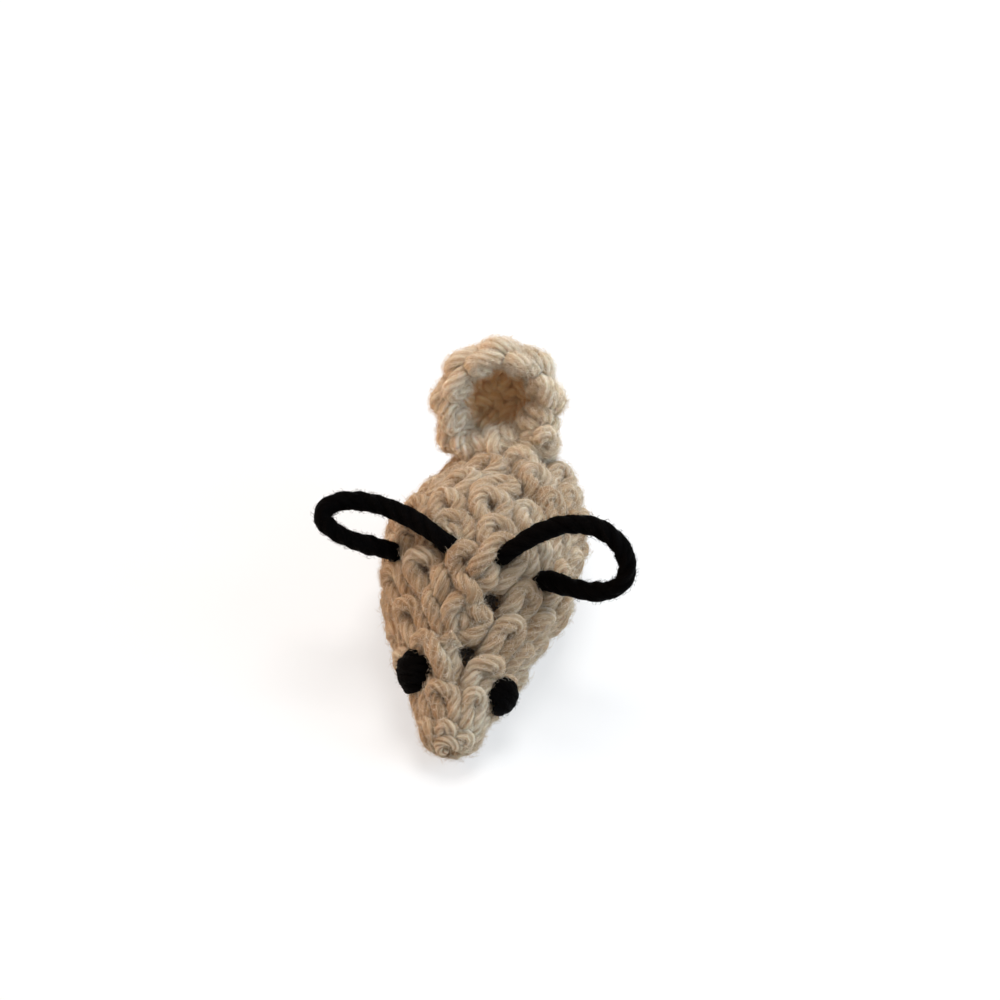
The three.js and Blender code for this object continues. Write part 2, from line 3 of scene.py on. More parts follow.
import bpy
import numpy as np
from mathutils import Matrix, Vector


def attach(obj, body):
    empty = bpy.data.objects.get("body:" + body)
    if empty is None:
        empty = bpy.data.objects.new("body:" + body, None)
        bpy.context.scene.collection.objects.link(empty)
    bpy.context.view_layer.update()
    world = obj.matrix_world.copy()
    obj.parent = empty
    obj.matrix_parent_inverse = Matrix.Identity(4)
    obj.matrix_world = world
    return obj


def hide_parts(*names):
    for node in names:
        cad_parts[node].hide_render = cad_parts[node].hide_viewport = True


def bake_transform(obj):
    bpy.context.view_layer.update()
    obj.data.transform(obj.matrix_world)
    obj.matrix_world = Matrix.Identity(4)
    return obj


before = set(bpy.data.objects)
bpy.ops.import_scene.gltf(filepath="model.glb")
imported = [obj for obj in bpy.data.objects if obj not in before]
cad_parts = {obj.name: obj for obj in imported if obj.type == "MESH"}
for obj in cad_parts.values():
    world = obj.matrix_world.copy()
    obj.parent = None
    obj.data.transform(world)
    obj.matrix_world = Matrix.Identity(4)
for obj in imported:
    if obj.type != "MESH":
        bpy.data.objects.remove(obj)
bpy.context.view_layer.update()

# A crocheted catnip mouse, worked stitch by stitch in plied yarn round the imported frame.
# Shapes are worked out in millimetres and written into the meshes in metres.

MM = 0.001
TURN = 2 * math.pi
UP = np.array([0, 0, 1.0])
TAILWARDS = np.array([0, 1.0, 0])
TINY, LEAST_DISTANCE = 1e-9, 1e-3    # keep a division by a length of nothing in bounds

# The frame's own dimensions, repeated from the part's source, in millimetres and degrees

BODY_LENGTH, BODY_WIDTH, BODY_HEIGHT = 43.0, 23.6, 20.5
NOSE_RISE, RUMP_RISE, RUMP_LEAN, BELLY_FLAT = 3.2, 10.0, 1.8, 0.6
WIDEST_SHARE, RISE_POWER = 0.54, 1.8
PROFILE = np.array([
    (0, 0), (0.004, 0.12), (0.03, 0.25), (0.1, 0.37), (0.2, 0.52), (0.32, 0.74), (0.44, 0.93),
    (0.54, 1), (0.65, 0.985), (0.76, 0.91), (0.87, 0.77), (0.95, 0.61), (0.99, 0.36), (1, 0),
])
RIGHT_EYE = {"share": 0.192, "around": -64, "lean": 26}
LEFT_EYE = {"share": 0.172, "around": 82, "lean": 0}
LEFT_EYE_SIZE = 0.86
EYE_COIL_RADIUS, EYE_PITCH, EYE_SINK, EYE_TURNS = 1.5, 1.9, 0.6, 2.6
EAR_ENTRY_DEPTH, EAR_RISE, EAR_RISE_POWER, TEARDROP_SHARE = 0.7, 3.2, 0.5, 1.3
RIGHT_EAR = {"inner": (0.445, -13), "outer": (0.485, -60), "reach": 10.4, "half_width": 2.1,
             "heading": 166, "lift": 12, "roll": 10}
LEFT_EAR = {"inner": (0.435, 18), "outer": (0.438, 54), "reach": 11.0, "half_width": 2.9,
            "heading": 4, "lift": 16, "roll": -133}
EARS = {"right_ear": RIGHT_EAR, "left_ear": LEFT_EAR}
TAIL_ROOT, TAIL_ROOT_SINK = (0.925, 12), 0.7
CURL_OFFSET, CURL_RADIUS = np.array([-4.3, 5.9, 5.2]), 4.7
CURL_AZIMUTH, CURL_ELEVATION, CURL_TURN, CURL_POINTS = 9, 22, (-28, 240), 12
FLARE = 84
NOD_SHARE, TIP_SHARE = 0.24, 0.66

# Yarn, in millimetres

YARN = 2.2                 # worsted cream yarn, laid loosely
FULLNESS = 1.1             # loose wool swells past the thickness at which its strands are laid
PLIES = 6
PLY_PITCH = 8.0            # length of one full turn of the plies
PLY_DEPTH = 0.18           # how deep the grooves between plies are, as a share of the radius
LOBE_POWER = 0.8           # under 1 the plies are plump and the grooves between them narrow
YARN_SIDES = 28
ROUGHNESS = 0.02           # how far single fibres lift the surface
WANDER_STEP = 2.5          # the thickness and the plies change from one place to the next, this far apart
WANDER_MARGIN = 6.0        # how far those places go on past the end
THICKNESS_WANDER, PLY_UNEVENNESS = 0.045, 0.03
UNEVEN_WAVES = (1, 2, 3, 5)

# Stray fibres, in millimetres and shares of their length

FIBRE_STEPS, FIBRE_SIDES = 3, 3
FIBRE_THICKNESS = 0.042    # real ones are half as thick and would be lost between the picture's pixels
FIBRE_TAPER = 0.6
SHORTEST_FIBRE = 0.3
FIBRE_ROOT = 0.06          # how deep a fibre starts in the yarn
FIBRE_SPREAD = 1.0         # how far it turns off the yarn's direction, in radians
FIBRE_LIFT = (-0.05, 0.45)
FIBRE_ARCH = 2.4           # it rises and comes down again as a sine does up to this angle
FIBRE_CURL = 0.35
NUDGE = 0.01               # keeps a fibre's cross direction from vanishing

# Rounds and stitches

ROUND_COUNTS = np.array([5, 6, 8, 10, 12, 13, 14, 13, 12, 10, 6])
RING_EDGE = 0.9            # how far from the nose's middle the first stitches come up, out of the drawn ring
RUMP_EDGE = 0.8            # how far from the rump's middle the last ones end
TOP_AHEAD = 0.25           # a stitch's top stands this share of a row past its place on the spiral
LAST_ROW = 0.15            # what the last stitches' tops take up past the last round, as a share of a row
FIRST_TURN = -0.32         # where the first stitch stands, as a share of a turn from the top
WORK_DIRECTION = -1.0      # rounds run clockwise seen from the tail
STITCH_LEAN = 0.12         # each stitch stands this far on from the one below it, in stitches
STITCH_DEPTH = -2.45       # where the middle of the fabric lies under the frame's skin

# One single crochet, as a strand through these places: across in stitch widths, up in row heights, out in
# mm.
STITCH = np.array([
    (0.47, -0.36, -0.6), (0.40, -0.16, 0.6), (0.22, 0.16, 1.15), (0.12, 0.50, 1.15), (0.24, 0.84, 0.95),
    (0.50, 1.00, 0.85), (0.76, 0.86, 1.1), (0.88, 0.52, 1.35), (0.80, 0.16, 1.25), (0.62, -0.14, 0.7),
    (0.53, -0.36, -0.5), (0.58, -0.28, -2.0), (0.66, 0.25, -2.5), (0.60, 0.72, -2.0),
    (0.46, 0.92, -0.9), (0.50, 1.06, -0.5), (1.00, 1.08, 0.0), (1.42, 1.05, -0.6),
    (1.20, 1.00, -1.9), (0.85, 0.90, -2.2), (1.05, 0.45, -2.7), (1.35, -0.20, -2.2),
])
# How unevenly its places lie, and whole stitches, in the same units
POINT_SHIFT = np.array([0.018, 0.018, 0.09])
STITCH_SHIFT = np.array([0.03, 0.03, 0.12])

# How a strand settles among its neighbours

SPACING = 0.6              # between its points meanwhile
CLOSE_ALONG = 1.6          # points nearer than this along the strand, in thicknesses, don't push each other
SEARCH_ROUNDS = 4          # rounds from one search for touching points to the next
SEARCH_MARGIN = 0.6        # how far past touching a search looks
CROWDING = 0.45            # a point that many others push moves less for each
FIXED_PUSH = 0.5           # the share of its overlap with a fixed neighbour that a round clears
PULL, STIFFNESS = 0.06, 0.35    # the shares of a point's way home, and of its bend, that a round clears
SPRING_BACK = 0.25         # the share that stays of a distance past a limit
STEEP = 0.8                # a line that rises more than this takes its cross direction from another axis
ROOM_REACH = 5             # how far a hole goes through the fabric to either side of the skin


def smoothstep(x, low, high):
    """The usual cubic ease from 0 at low to 1 at high."""
    t = np.clip((x - low) / (high - low), 0, 1)
    return t * t * (3 - 2 * t)


def unit(v):
    """Vectors divided by their lengths."""
    return v / np.maximum(np.linalg.norm(v, axis=-1, keepdims=True), TINY)


def direction(azimuth, elevation):
    """The direction at an azimuth, in degrees from the nose's side towards the left, and an elevation."""
    a, e = math.radians(azimuth), math.radians(elevation)
    return np.array([math.sin(a) * math.cos(e), -math.cos(a) * math.cos(e), math.sin(e)])


def catmull_rom(points, steps):
    """A smooth line through points: each span is the uniform Catmull-Rom cubic of its four nearest
    points."""
    p = np.vstack([2 * points[:1] - points[1:2], points, 2 * points[-1:] - points[-2:-1]])
    t = (np.arange(steps) / steps)[None, :, None]
    a, b, c, d = (p[i:len(p) - 3 + i, None, :] for i in range(4))
    square, cube = 2 * a - 5 * b + 4 * c - d, 3 * b - a - 3 * c + d
    line = 0.5 * (2 * b + (c - a) * t + square * t**2 + cube * t**3)
    return np.vstack([line.reshape(-1, points.shape[1]), points[-1:]])


def run_along(line):
    """How far along a line each of its points lies."""
    step = np.linalg.norm(np.diff(line[:, :3], axis=0), axis=1)
    return np.concatenate([[0], np.cumsum(step)])


def line_length(line):
    """The length of a line of points."""
    return np.linalg.norm(np.diff(line, axis=0), axis=1).sum()


def along_line(place, run, values):
    """Rows of values at places along a line, by straight interpolation."""
    return np.stack([np.interp(place, run, values[:, k]) for k in range(values.shape[1])], axis=1)


def evenly(line, spacing, fewest=4):
    """The same line with its points at equal distances along it. Columns past the third are carried
    along."""
    run = run_along(line)
    count = max(fewest, int(round(run[-1] / spacing)) + 1)
    return along_line(np.linspace(0, run[-1], count), run, line)


# The body's skin

PROFILE_STEPS = 30
PROFILE_LINE = catmull_rom(PROFILE, PROFILE_STEPS)
PROFILE_LINE[:, 1] = np.clip(PROFILE_LINE[:, 1], 0, 1)
MERIDIAN_POINTS = 1500
SLOPE_STEP = 0.4           # the skin's slope is taken over this far to either side
SHARE_STEP, DEGREE_STEP = 0.002, 1    # or, at a single place, over these steps
POLE_EASE = 0.2            # keeps directions and depths steady where the oval shrinks to a point
DEEPEST = 0.85             # the share of the way in to the axis that a strand may go


def body_section(share):
    """The body's oval section at a share of its length: its centre, half width and half height."""
    swell = np.interp(share, PROFILE_LINE[:, 0], PROFILE_LINE[:, 1])
    rise = np.where(share < WIDEST_SHARE, NOSE_RISE, RUMP_RISE)
    height = rise * (1 - swell) ** RISE_POWER + BODY_HEIGHT / 2 * swell - BELLY_FLAT
    return (RUMP_LEAN * smoothstep(share, WIDEST_SHARE, 1), BODY_LENGTH * (share - 0.5), height,
            BODY_WIDTH / 2 * swell, BODY_HEIGHT / 2 * swell)


def body_point(share, around):
    """The skin's point at a share of the length and an angle in degrees from the top towards the left
    side."""
    x, y, z, half_width, half_height = body_section(np.asarray(share, float))
    angle = np.radians(around)
    x, z = x + half_width * np.sin(angle), z + half_height * np.cos(angle)
    x, y, z, _ = np.broadcast_arrays(x, y, z, angle)
    return np.stack([x, y, z], axis=-1)


def lay_meridian():
    """Shares of the length close together from nose to rump, and how far along the skin each lies. The
    skin's distance from the axis is taken as the mean of the oval's half sizes."""
    number = np.linspace(0, 1, MERIDIAN_POINTS)
    share = np.interp(number, np.linspace(0, 1, len(PROFILE_LINE)), PROFILE_LINE[:, 0])
    _, y, _, half_width, half_height = body_section(share)
    step = np.hypot(np.diff(y), np.diff((half_width + half_height) / 2))
    return share, np.concatenate([[0], np.cumsum(step)])


MERIDIAN_SHARE, MERIDIAN = lay_meridian()
MERIDIAN_LENGTH = MERIDIAN[-1]


def skin(run, turns, out):
    """A point off the skin: run is millimetres from the nose along the skin, turns is the angle from the top
    as a share of a turn, and out is the distance outwards along the normal, limited so that it stays short
    of the axis."""
    share = np.interp(run, MERIDIAN, MERIDIAN_SHARE)
    ahead = np.interp(run + SLOPE_STEP, MERIDIAN, MERIDIAN_SHARE)
    behind = np.interp(run - SLOPE_STEP, MERIDIAN, MERIDIAN_SHARE)
    around = 360 * turns
    point = body_point(share, around)
    along = body_point(ahead, around) - body_point(behind, around)
    _, _, _, half_width, half_height = body_section(share)
    angle = np.radians(around)
    beside, above = np.sin(angle) * (half_height + POLE_EASE), np.cos(angle) * (half_width + POLE_EASE)
    radial = unit(np.stack([beside, 0 * angle, above], -1))
    slope = (along * radial).sum(-1)
    normal = unit(radial * along[..., 1:2] - slope[..., None] * TAILWARDS)
    radius = (half_width + half_height) / 2
    depth = np.maximum(out, -DEEPEST * radius - POLE_EASE)
    return point + normal * depth[..., None], normal


def skin_place(share, around):
    """A place on the skin: its point, and the directions outwards, towards the tail and across both."""
    point = body_point(share, around)
    along = unit(body_point(share + SHARE_STEP, around) - point)
    normal = unit(np.cross(body_point(share, around + DEGREE_STEP) - point, along))
    return point, normal, along, np.cross(along, normal)


# Stitches and yarn


def lay_out_rounds():
    """Tops and feet of all stitches. The work is one spiral: stitch i stands at turn i of the running count,
    its top a row height further along than a turn before, and its foot in the nearest stitch of the turn
    before."""
    rows = np.repeat(np.arange(len(ROUND_COUNTS)), ROUND_COUNTS)
    first = np.repeat(np.cumsum(ROUND_COUNTS) - ROUND_COUNTS, ROUND_COUNTS)
    width = 1 / ROUND_COUNTS[rows]
    turns = rows + (np.arange(len(rows)) - first + 0.5) * width
    row_height = (MERIDIAN_LENGTH - RUMP_EDGE) / (len(ROUND_COUNTS) + LAST_ROW)
    top = (turns + TOP_AHEAD) * row_height
    gap = np.abs(turns[:, None] - 1 - STITCH_LEAN * width[:, None] - turns[None, :])
    parent = gap.argmin(axis=1)
    has_parent = turns > 1
    foot = np.where(has_parent, top[parent], RING_EDGE)
    foot_turns = np.where(has_parent, turns[parent] + 1, turns)
    return {"top": top, "turns": turns, "foot": foot, "foot_turns": foot_turns, "width": width}


def stitch_strand(layout, place, seed):
    """The strand of all stitches in working order. Each control point of a stitch is set between its foot
    and its top in the layout, with a small seeded shift, and place() carries it onto the surface that is
    worked."""
    rng = np.random.default_rng(seed)
    count = len(layout["top"])
    shift = rng.normal(0, 1, (count, len(STITCH), 3)) * POINT_SHIFT
    shift += rng.normal(0, 1, (count, 1, 3)) * STITCH_SHIFT
    local = STITCH[None] + shift
    up = local[..., 1]
    grow = np.clip(up, 0, 1)
    foot, top = layout["foot"][:, None], layout["top"][:, None]
    foot_turns, turns = layout["foot_turns"][:, None], layout["turns"][:, None]
    run = foot + (top - foot) * up
    turn = foot_turns + (turns - foot_turns) * grow + (local[..., 0] - 0.5) * layout["width"][:, None]
    return place(run.ravel(), turn.ravel(), local[..., 2].ravel())


def pushed_off(line, fixed, diameter):
    """How far each point must move to stand a yarn's thickness off the nearest of some fixed points."""
    apart = (line**2).sum(1)[:, None] + (fixed**2).sum(1)[None, :] - 2 * (line @ fixed.T)
    nearest = apart.argmin(axis=1)
    away = line - fixed[nearest]
    distance = np.maximum(np.linalg.norm(away, axis=1, keepdims=True), LEAST_DISTANCE)
    return away / distance * np.clip(diameter[:, None] - distance, 0, None) * FIXED_PUSH


def make_room(line, point, normal, radius):
    """Pushes a strand sideways out of a round hole through the fabric, along the normal at a point."""
    away = line - point
    height = (away @ normal)[:, None]
    sideways = away - height * normal
    distance = np.linalg.norm(sideways, axis=1, keepdims=True)
    inside = (distance < radius) & (np.abs(height) < ROOM_REACH)
    moved = line + sideways / np.maximum(distance, LEAST_DISTANCE) * (radius - distance)
    return np.where(inside, moved, line)


def part_crowded(line, home, diameter, rounds, rooms=(), fixed=None):
    """Lets a strand settle: parts of it that are nearer than the yarn's thickness move apart, each point is
    drawn back towards its home, its bends are eased and it leaves the rooms free, over and over. A fixed
    neighbour's points push the strand away and stay where they are."""
    thick = np.broadcast_to(diameter, len(line))
    near_along = int(math.ceil(CLOSE_ALONG * thick.max() / SPACING))
    line = line.copy()
    first = second = contact = None
    for step in range(rounds):
        if step % SEARCH_ROUNDS == 0:
            square = (line**2).sum(1)
            apart = square[:, None] + square[None, :] - 2 * (line @ line.T)
            first, second = np.nonzero(apart < (thick.max() + SEARCH_MARGIN) ** 2)
            keep = second - first > near_along
            first, second = first[keep], second[keep]
            contact = (thick[first] + thick[second]) / 2
        between = line[second] - line[first]
        distance = np.maximum(np.linalg.norm(between, axis=1), LEAST_DISTANCE)
        overlap = np.clip(contact - distance, 0, None)
        push = between * (0.5 * overlap / distance)[:, None]
        touches = np.bincount(first, minlength=len(line)) + np.bincount(second, minlength=len(line))
        moved = np.zeros_like(line)
        for k in range(3):
            moved[:, k] = np.bincount(second, push[:, k], len(line))
            moved[:, k] -= np.bincount(first, push[:, k], len(line))
        line += moved / np.maximum(1, CROWDING * touches)[:, None]
        if fixed is not None:
            line += pushed_off(line, fixed, thick)
        eased = line.copy()
        eased[1:-1] += STIFFNESS * ((line[:-2] + line[2:]) / 2 - line[1:-1])
        line = eased + PULL * (home - eased)
        for room in rooms:
            line = make_room(line, *room)
    return line


def pressed_back(value, limit):
    """Values under a limit come back to a share of their distance from it."""
    return np.where(value < limit, limit + SPRING_BACK * (value - limit), value)


def strand_frames(line):
    """A pair of cross directions that don't spin along a line. Any normal is taken at each point, and the
    angle by which it departs from the one carried over from the point before is summed and turned back."""
    tangent = unit(np.gradient(line, axis=0))
    helper = np.where(np.abs(tangent[:, 2:3]) < STEEP, [[0, 0, 1.0]], [[1.0, 0, 0]])
    normal = unit(np.cross(tangent, helper))
    side = np.cross(tangent, normal)
    axis = np.cross(tangent[:-1], tangent[1:])
    sine = np.linalg.norm(axis, axis=1, keepdims=True)
    cosine = (tangent[:-1] * tangent[1:]).sum(1, keepdims=True)
    axis = axis / np.maximum(sine, TINY)
    old = normal[:-1]
    carried = old * cosine + np.cross(axis, old) * sine
    carried = carried + axis * (axis * old).sum(1, keepdims=True) * (1 - cosine)
    angle = np.arctan2((carried * side[1:]).sum(1), (carried * normal[1:]).sum(1))
    spin = np.concatenate([[0], np.cumsum(angle)])[:, None]
    return normal * np.cos(spin) + side * np.sin(spin), side * np.cos(spin) - normal * np.sin(spin)


def plied_yarn(line, diameter, plies=PLIES, pitch=PLY_PITCH, sides=YARN_SIDES, depth=PLY_DEPTH, seed=1):
    """A plied yarn along a line: its section is a circle with one lobe to each ply, turned steadily along
    the yarn. Its thickness wanders, and its plies are uneven, as in loosely spun wool. Also gives each
    point's place in the yarn laid straight, and how deep it lies between two plies, which sets the painted
    shade there."""
    rng = np.random.default_rng(seed)
    normal, side = strand_frames(line)
    run = run_along(line)
    knots = np.arange(0, run[-1] + WANDER_MARGIN, WANDER_STEP)
    wander = np.interp(run, knots, rng.normal(0, THICKNESS_WANDER, len(knots)))
    angle = np.arange(sides) * TURN / sides
    uneven = sum(np.interp(run, knots, rng.normal(0, PLY_UNEVENNESS, len(knots)))[:, None]
                 * np.cos(k * angle + k)[None, :] for k in UNEVEN_WAVES)
    lobe = np.abs(np.cos(plies * angle / 2))
    half = np.broadcast_to(diameter, len(line))[:, None] / 2
    radius = half * (1 + wander[:, None] + uneven) * (1 - depth + depth * lobe**LOBE_POWER)[None, :]
    radius = radius + rng.normal(0, ROUGHNESS, radius.shape)
    turned = angle[None, :] + TURN * run[:, None] / pitch
    across = normal[:, None] * np.cos(turned)[..., None] + side[:, None] * np.sin(turned)[..., None]
    points = line[:, None] + across * radius[..., None]
    straight = np.broadcast_to(run[:, None], radius.shape)
    laid = np.stack([straight, radius * np.cos(angle), radius * np.sin(angle)], -1)
    return points, laid, np.broadcast_to(1 - lobe, radius.shape)


# Meshes


def ring_quads(rings, sides):
    """Quads between neighbouring rings of a tube, facing out."""
    i, j = np.meshgrid(np.arange(rings - 1), np.arange(sides), indexing="ij")
    a, b = i * sides + j, i * sides + (j + 1) % sides
    return np.stack([a, b, b + sides, a + sides], axis=-1).reshape(-1, 4)


def tube_faces(rings, sides):
    """The quads of a tube, and a many-sided face on each end."""
    first = list(range(sides))[::-1]
    last = [(rings - 1) * sides + k for k in range(sides)]
    return ring_quads(rings, sides).tolist() + [first, last]


def add_piece(name, points, faces, material, attributes=None, flat_faces=0):
    """A mesh object from points in millimetres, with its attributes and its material. The last few
    faces may stay flat, as the cut ends of a strand do."""
    mesh = bpy.data.meshes.new(name)
    mesh.from_pydata((points.reshape(-1, 3) * MM).tolist(), [], faces)
    for key, values in (attributes or {}).items():
        vector = values.ndim > 1
        layer = mesh.attributes.new(key, "FLOAT_VECTOR" if vector else "FLOAT", "POINT")
        layer.data.foreach_set("vector" if vector else "value", values.astype(np.float32).ravel())
    smooth = np.arange(len(mesh.polygons)) < len(mesh.polygons) - flat_faces
    mesh.polygons.foreach_set("use_smooth", smooth)
    mesh.materials.append(material)
    mesh.update()
    piece = bpy.data.objects.new(name, mesh)
    bpy.context.scene.collection.objects.link(piece)
    return piece


def add_yarn(name, yarn, material, spans=None, hollow=None):
    """One piece from a whole plied yarn, or from one or more lengths of it, each given as its first and last
    ring. The tail's yarn also says how far each point lies in the cavity of the cup, as the painted glow
    that stands in for light coming through the fabric from behind."""
    points, laid, painted_shade = yarn
    spans = spans or [(0, len(points) - 1)]
    sides = points.shape[1]
    faces, ends, count = [], [], 0
    for first, last in spans:
        made = tube_faces(last - first + 1, sides)
        shifted = [[corner + count for corner in face] for face in made]
        faces += shifted[:-2]
        ends += shifted[-2:]
        count += (last - first + 1) * sides
    pick = np.concatenate([np.arange(first, last + 1) for first, last in spans])
    attributes = {"laid": laid[pick].reshape(-1, 3), "painted_shade": painted_shade[pick].ravel()}
    if hollow is not None:
        attributes["hollow"] = hollow[pick].ravel()
    return add_piece(name, points[pick], faces + ends, material, attributes, len(ends))


def add_fuzz(name, yarn, material, count, longest, seed, seen=None):
    """One piece of stray fibres on a yarn, rooted at random on its points, or on those of them that can be
    seen. Each is a thin tube that leaves the surface sideways, lifts a little, and curls. None goes into the
    table."""
    points, _, painted_shade = yarn
    seen = np.ones(painted_shade.shape, bool) if seen is None else seen
    rng = np.random.default_rng(seed)
    middle = points.mean(axis=1)
    ring, corner = np.unravel_index(rng.choice(np.flatnonzero(seen), count), seen.shape)
    ring = np.clip(ring, 1, len(points) - 2)
    root = points[ring, corner]
    outward = unit(root - middle[ring])
    along = unit(middle[ring + 1] - middle[ring - 1])
    around = np.cross(along, outward)
    heading = rng.normal(0, FIBRE_SPREAD, (count, 1)) + rng.choice([0.0, math.pi], (count, 1))
    lean = along * np.cos(heading) + around * np.sin(heading)
    aside = np.cross(outward, lean)
    size = longest * rng.uniform(SHORTEST_FIBRE, 1, (count, 1))[:, None]
    lift = rng.uniform(*FIBRE_LIFT, (count, 1))[:, None]
    curl = rng.normal(0, FIBRE_CURL, (count, 1))[:, None]
    t = np.linspace(0, 1, FIBRE_STEPS)[None, :, None]
    path = (root - FIBRE_ROOT * outward)[:, None] + size * t * lean[:, None]
    path = path + lift * np.sin(FIBRE_ARCH * t) * outward[:, None] + size * curl * t**2 * aside[:, None]
    tangent = unit(np.gradient(path, axis=1))
    helper = unit(np.cross(tangent, outward[:, None] + NUDGE))
    other = np.cross(tangent, helper)
    angle = (np.arange(FIBRE_SIDES) * TURN / FIBRE_SIDES)[None, None, :, None]
    radius = FIBRE_THICKNESS / 2 * (1 - FIBRE_TAPER * t)[..., None]
    path[..., 2] = np.maximum(path[..., 2], FIBRE_THICKNESS)
    across = helper[:, :, None] * np.cos(angle) + other[:, :, None] * np.sin(angle)
    tube = path[:, :, None] + radius * across
    corners = np.arange(count) * FIBRE_STEPS * FIBRE_SIDES
    faces = ring_quads(FIBRE_STEPS, FIBRE_SIDES)[None] + corners[:, None, None]
    return add_piece(name, tube, faces.reshape(-1, 4).tolist(), material)


def standing_free(yarn, diameter, beyond):
    """The points of a yarn's surface that no other strand of it covers, as a mask: none of the strands'
    middles but those within so many rings of a point's own is nearer than its radius."""
    points = yarn[0]
    middle = points.mean(axis=1)
    number = np.arange(len(middle))
    free = np.empty(points.shape[:2], bool)
    for side in range(points.shape[1]):
        apart = ((points[:, side][:, None] - middle[None]) ** 2).sum(axis=-1)
        apart[np.abs(number[:, None] - number[None]) < beyond] = np.inf
        free[:, side] = apart.min(axis=1) > (diameter / 2) ** 2
    return free


# Materials, with the sizes of their patterns in millimetres

# Streaks are given as noise cells to the millimetre, along the yarn and across it. Bundles of fibres show as
# streaks of 4 by 0.4 mm. A single fibre is 0.02 mm wide, too fine for the picture, so it is drawn as a
# streak of 1.4 by 0.13 mm.
PLY_STREAKS = (0.25, 2.6, 2.6)
FIBRE_STREAKS = (0.7, 8.0, 8.0)
FIBRE_SHARE = 0.7          # how much the single fibres count against the bundles
DRIFT_SIZE = 6.25          # the tone drifts from about one stitch to the next
DRIFT_SHARE = 0.4
GROOVE_SHADE_SHARE = 0.85        # how far the grooves take on the deep colour, a painted shade
FIBRE_RELIEF = 0.3         # how high the streaks stand to the light
SOAK_DEPTH = 1.2           # light goes about half way through a strand
FUZZ_SPOT = 2 / 3          # pale and dark spots are about half as long as a fibre
YARN_EDGE, LOOSE_EDGE = 0.41, 0.35    # a noise keeps near a half, so the darkest shade gives way there


def per_metre(size):
    """A noise's scale, in cells to the metre, from the size of a cell in millimetres."""
    return 1 / (size * MM)


def colour(code):
    """An sRGB hex colour as linear red, green, blue and alpha."""
    values = np.array([int(code[k:k + 2], 16) for k in (1, 3, 5)]) / 255
    linear = np.where(values <= 0.04045, values / 12.92, ((values + 0.055) / 1.055) ** 2.4)
    return (*linear.tolist(), 1.0)


def add_node(tree, kind, links=None, inputs=None, **settings):
    """Adds a node with its settings, its input values and its links."""
    node = tree.nodes.new(kind)
    for key, value in settings.items():
        setattr(node, key, value)
    for key, value in (inputs or {}).items():
        node.inputs[key].default_value = value
    for key, socket in (links or {}).items():
        tree.links.new(socket, node.inputs[key])
    return node


def new_material(name):
    """An empty node material and its tree."""
    material = bpy.data.materials.new(name)
    material.use_nodes = True
    material.node_tree.nodes.clear()
    return material, material.node_tree


def spread_shades(ramp, shades, edge):
    """Sets two or three shades on a colour ramp: at the edge, as far from the other end, and half way."""
    elements = ramp.color_ramp.elements
    elements[0].position, elements[0].color = edge, colour(shades[0])
    elements[1].position, elements[1].color = 1 - edge, colour(shades[-1])
    if len(shades) > 2:
        elements.new(0.5).color = colour(shades[1])


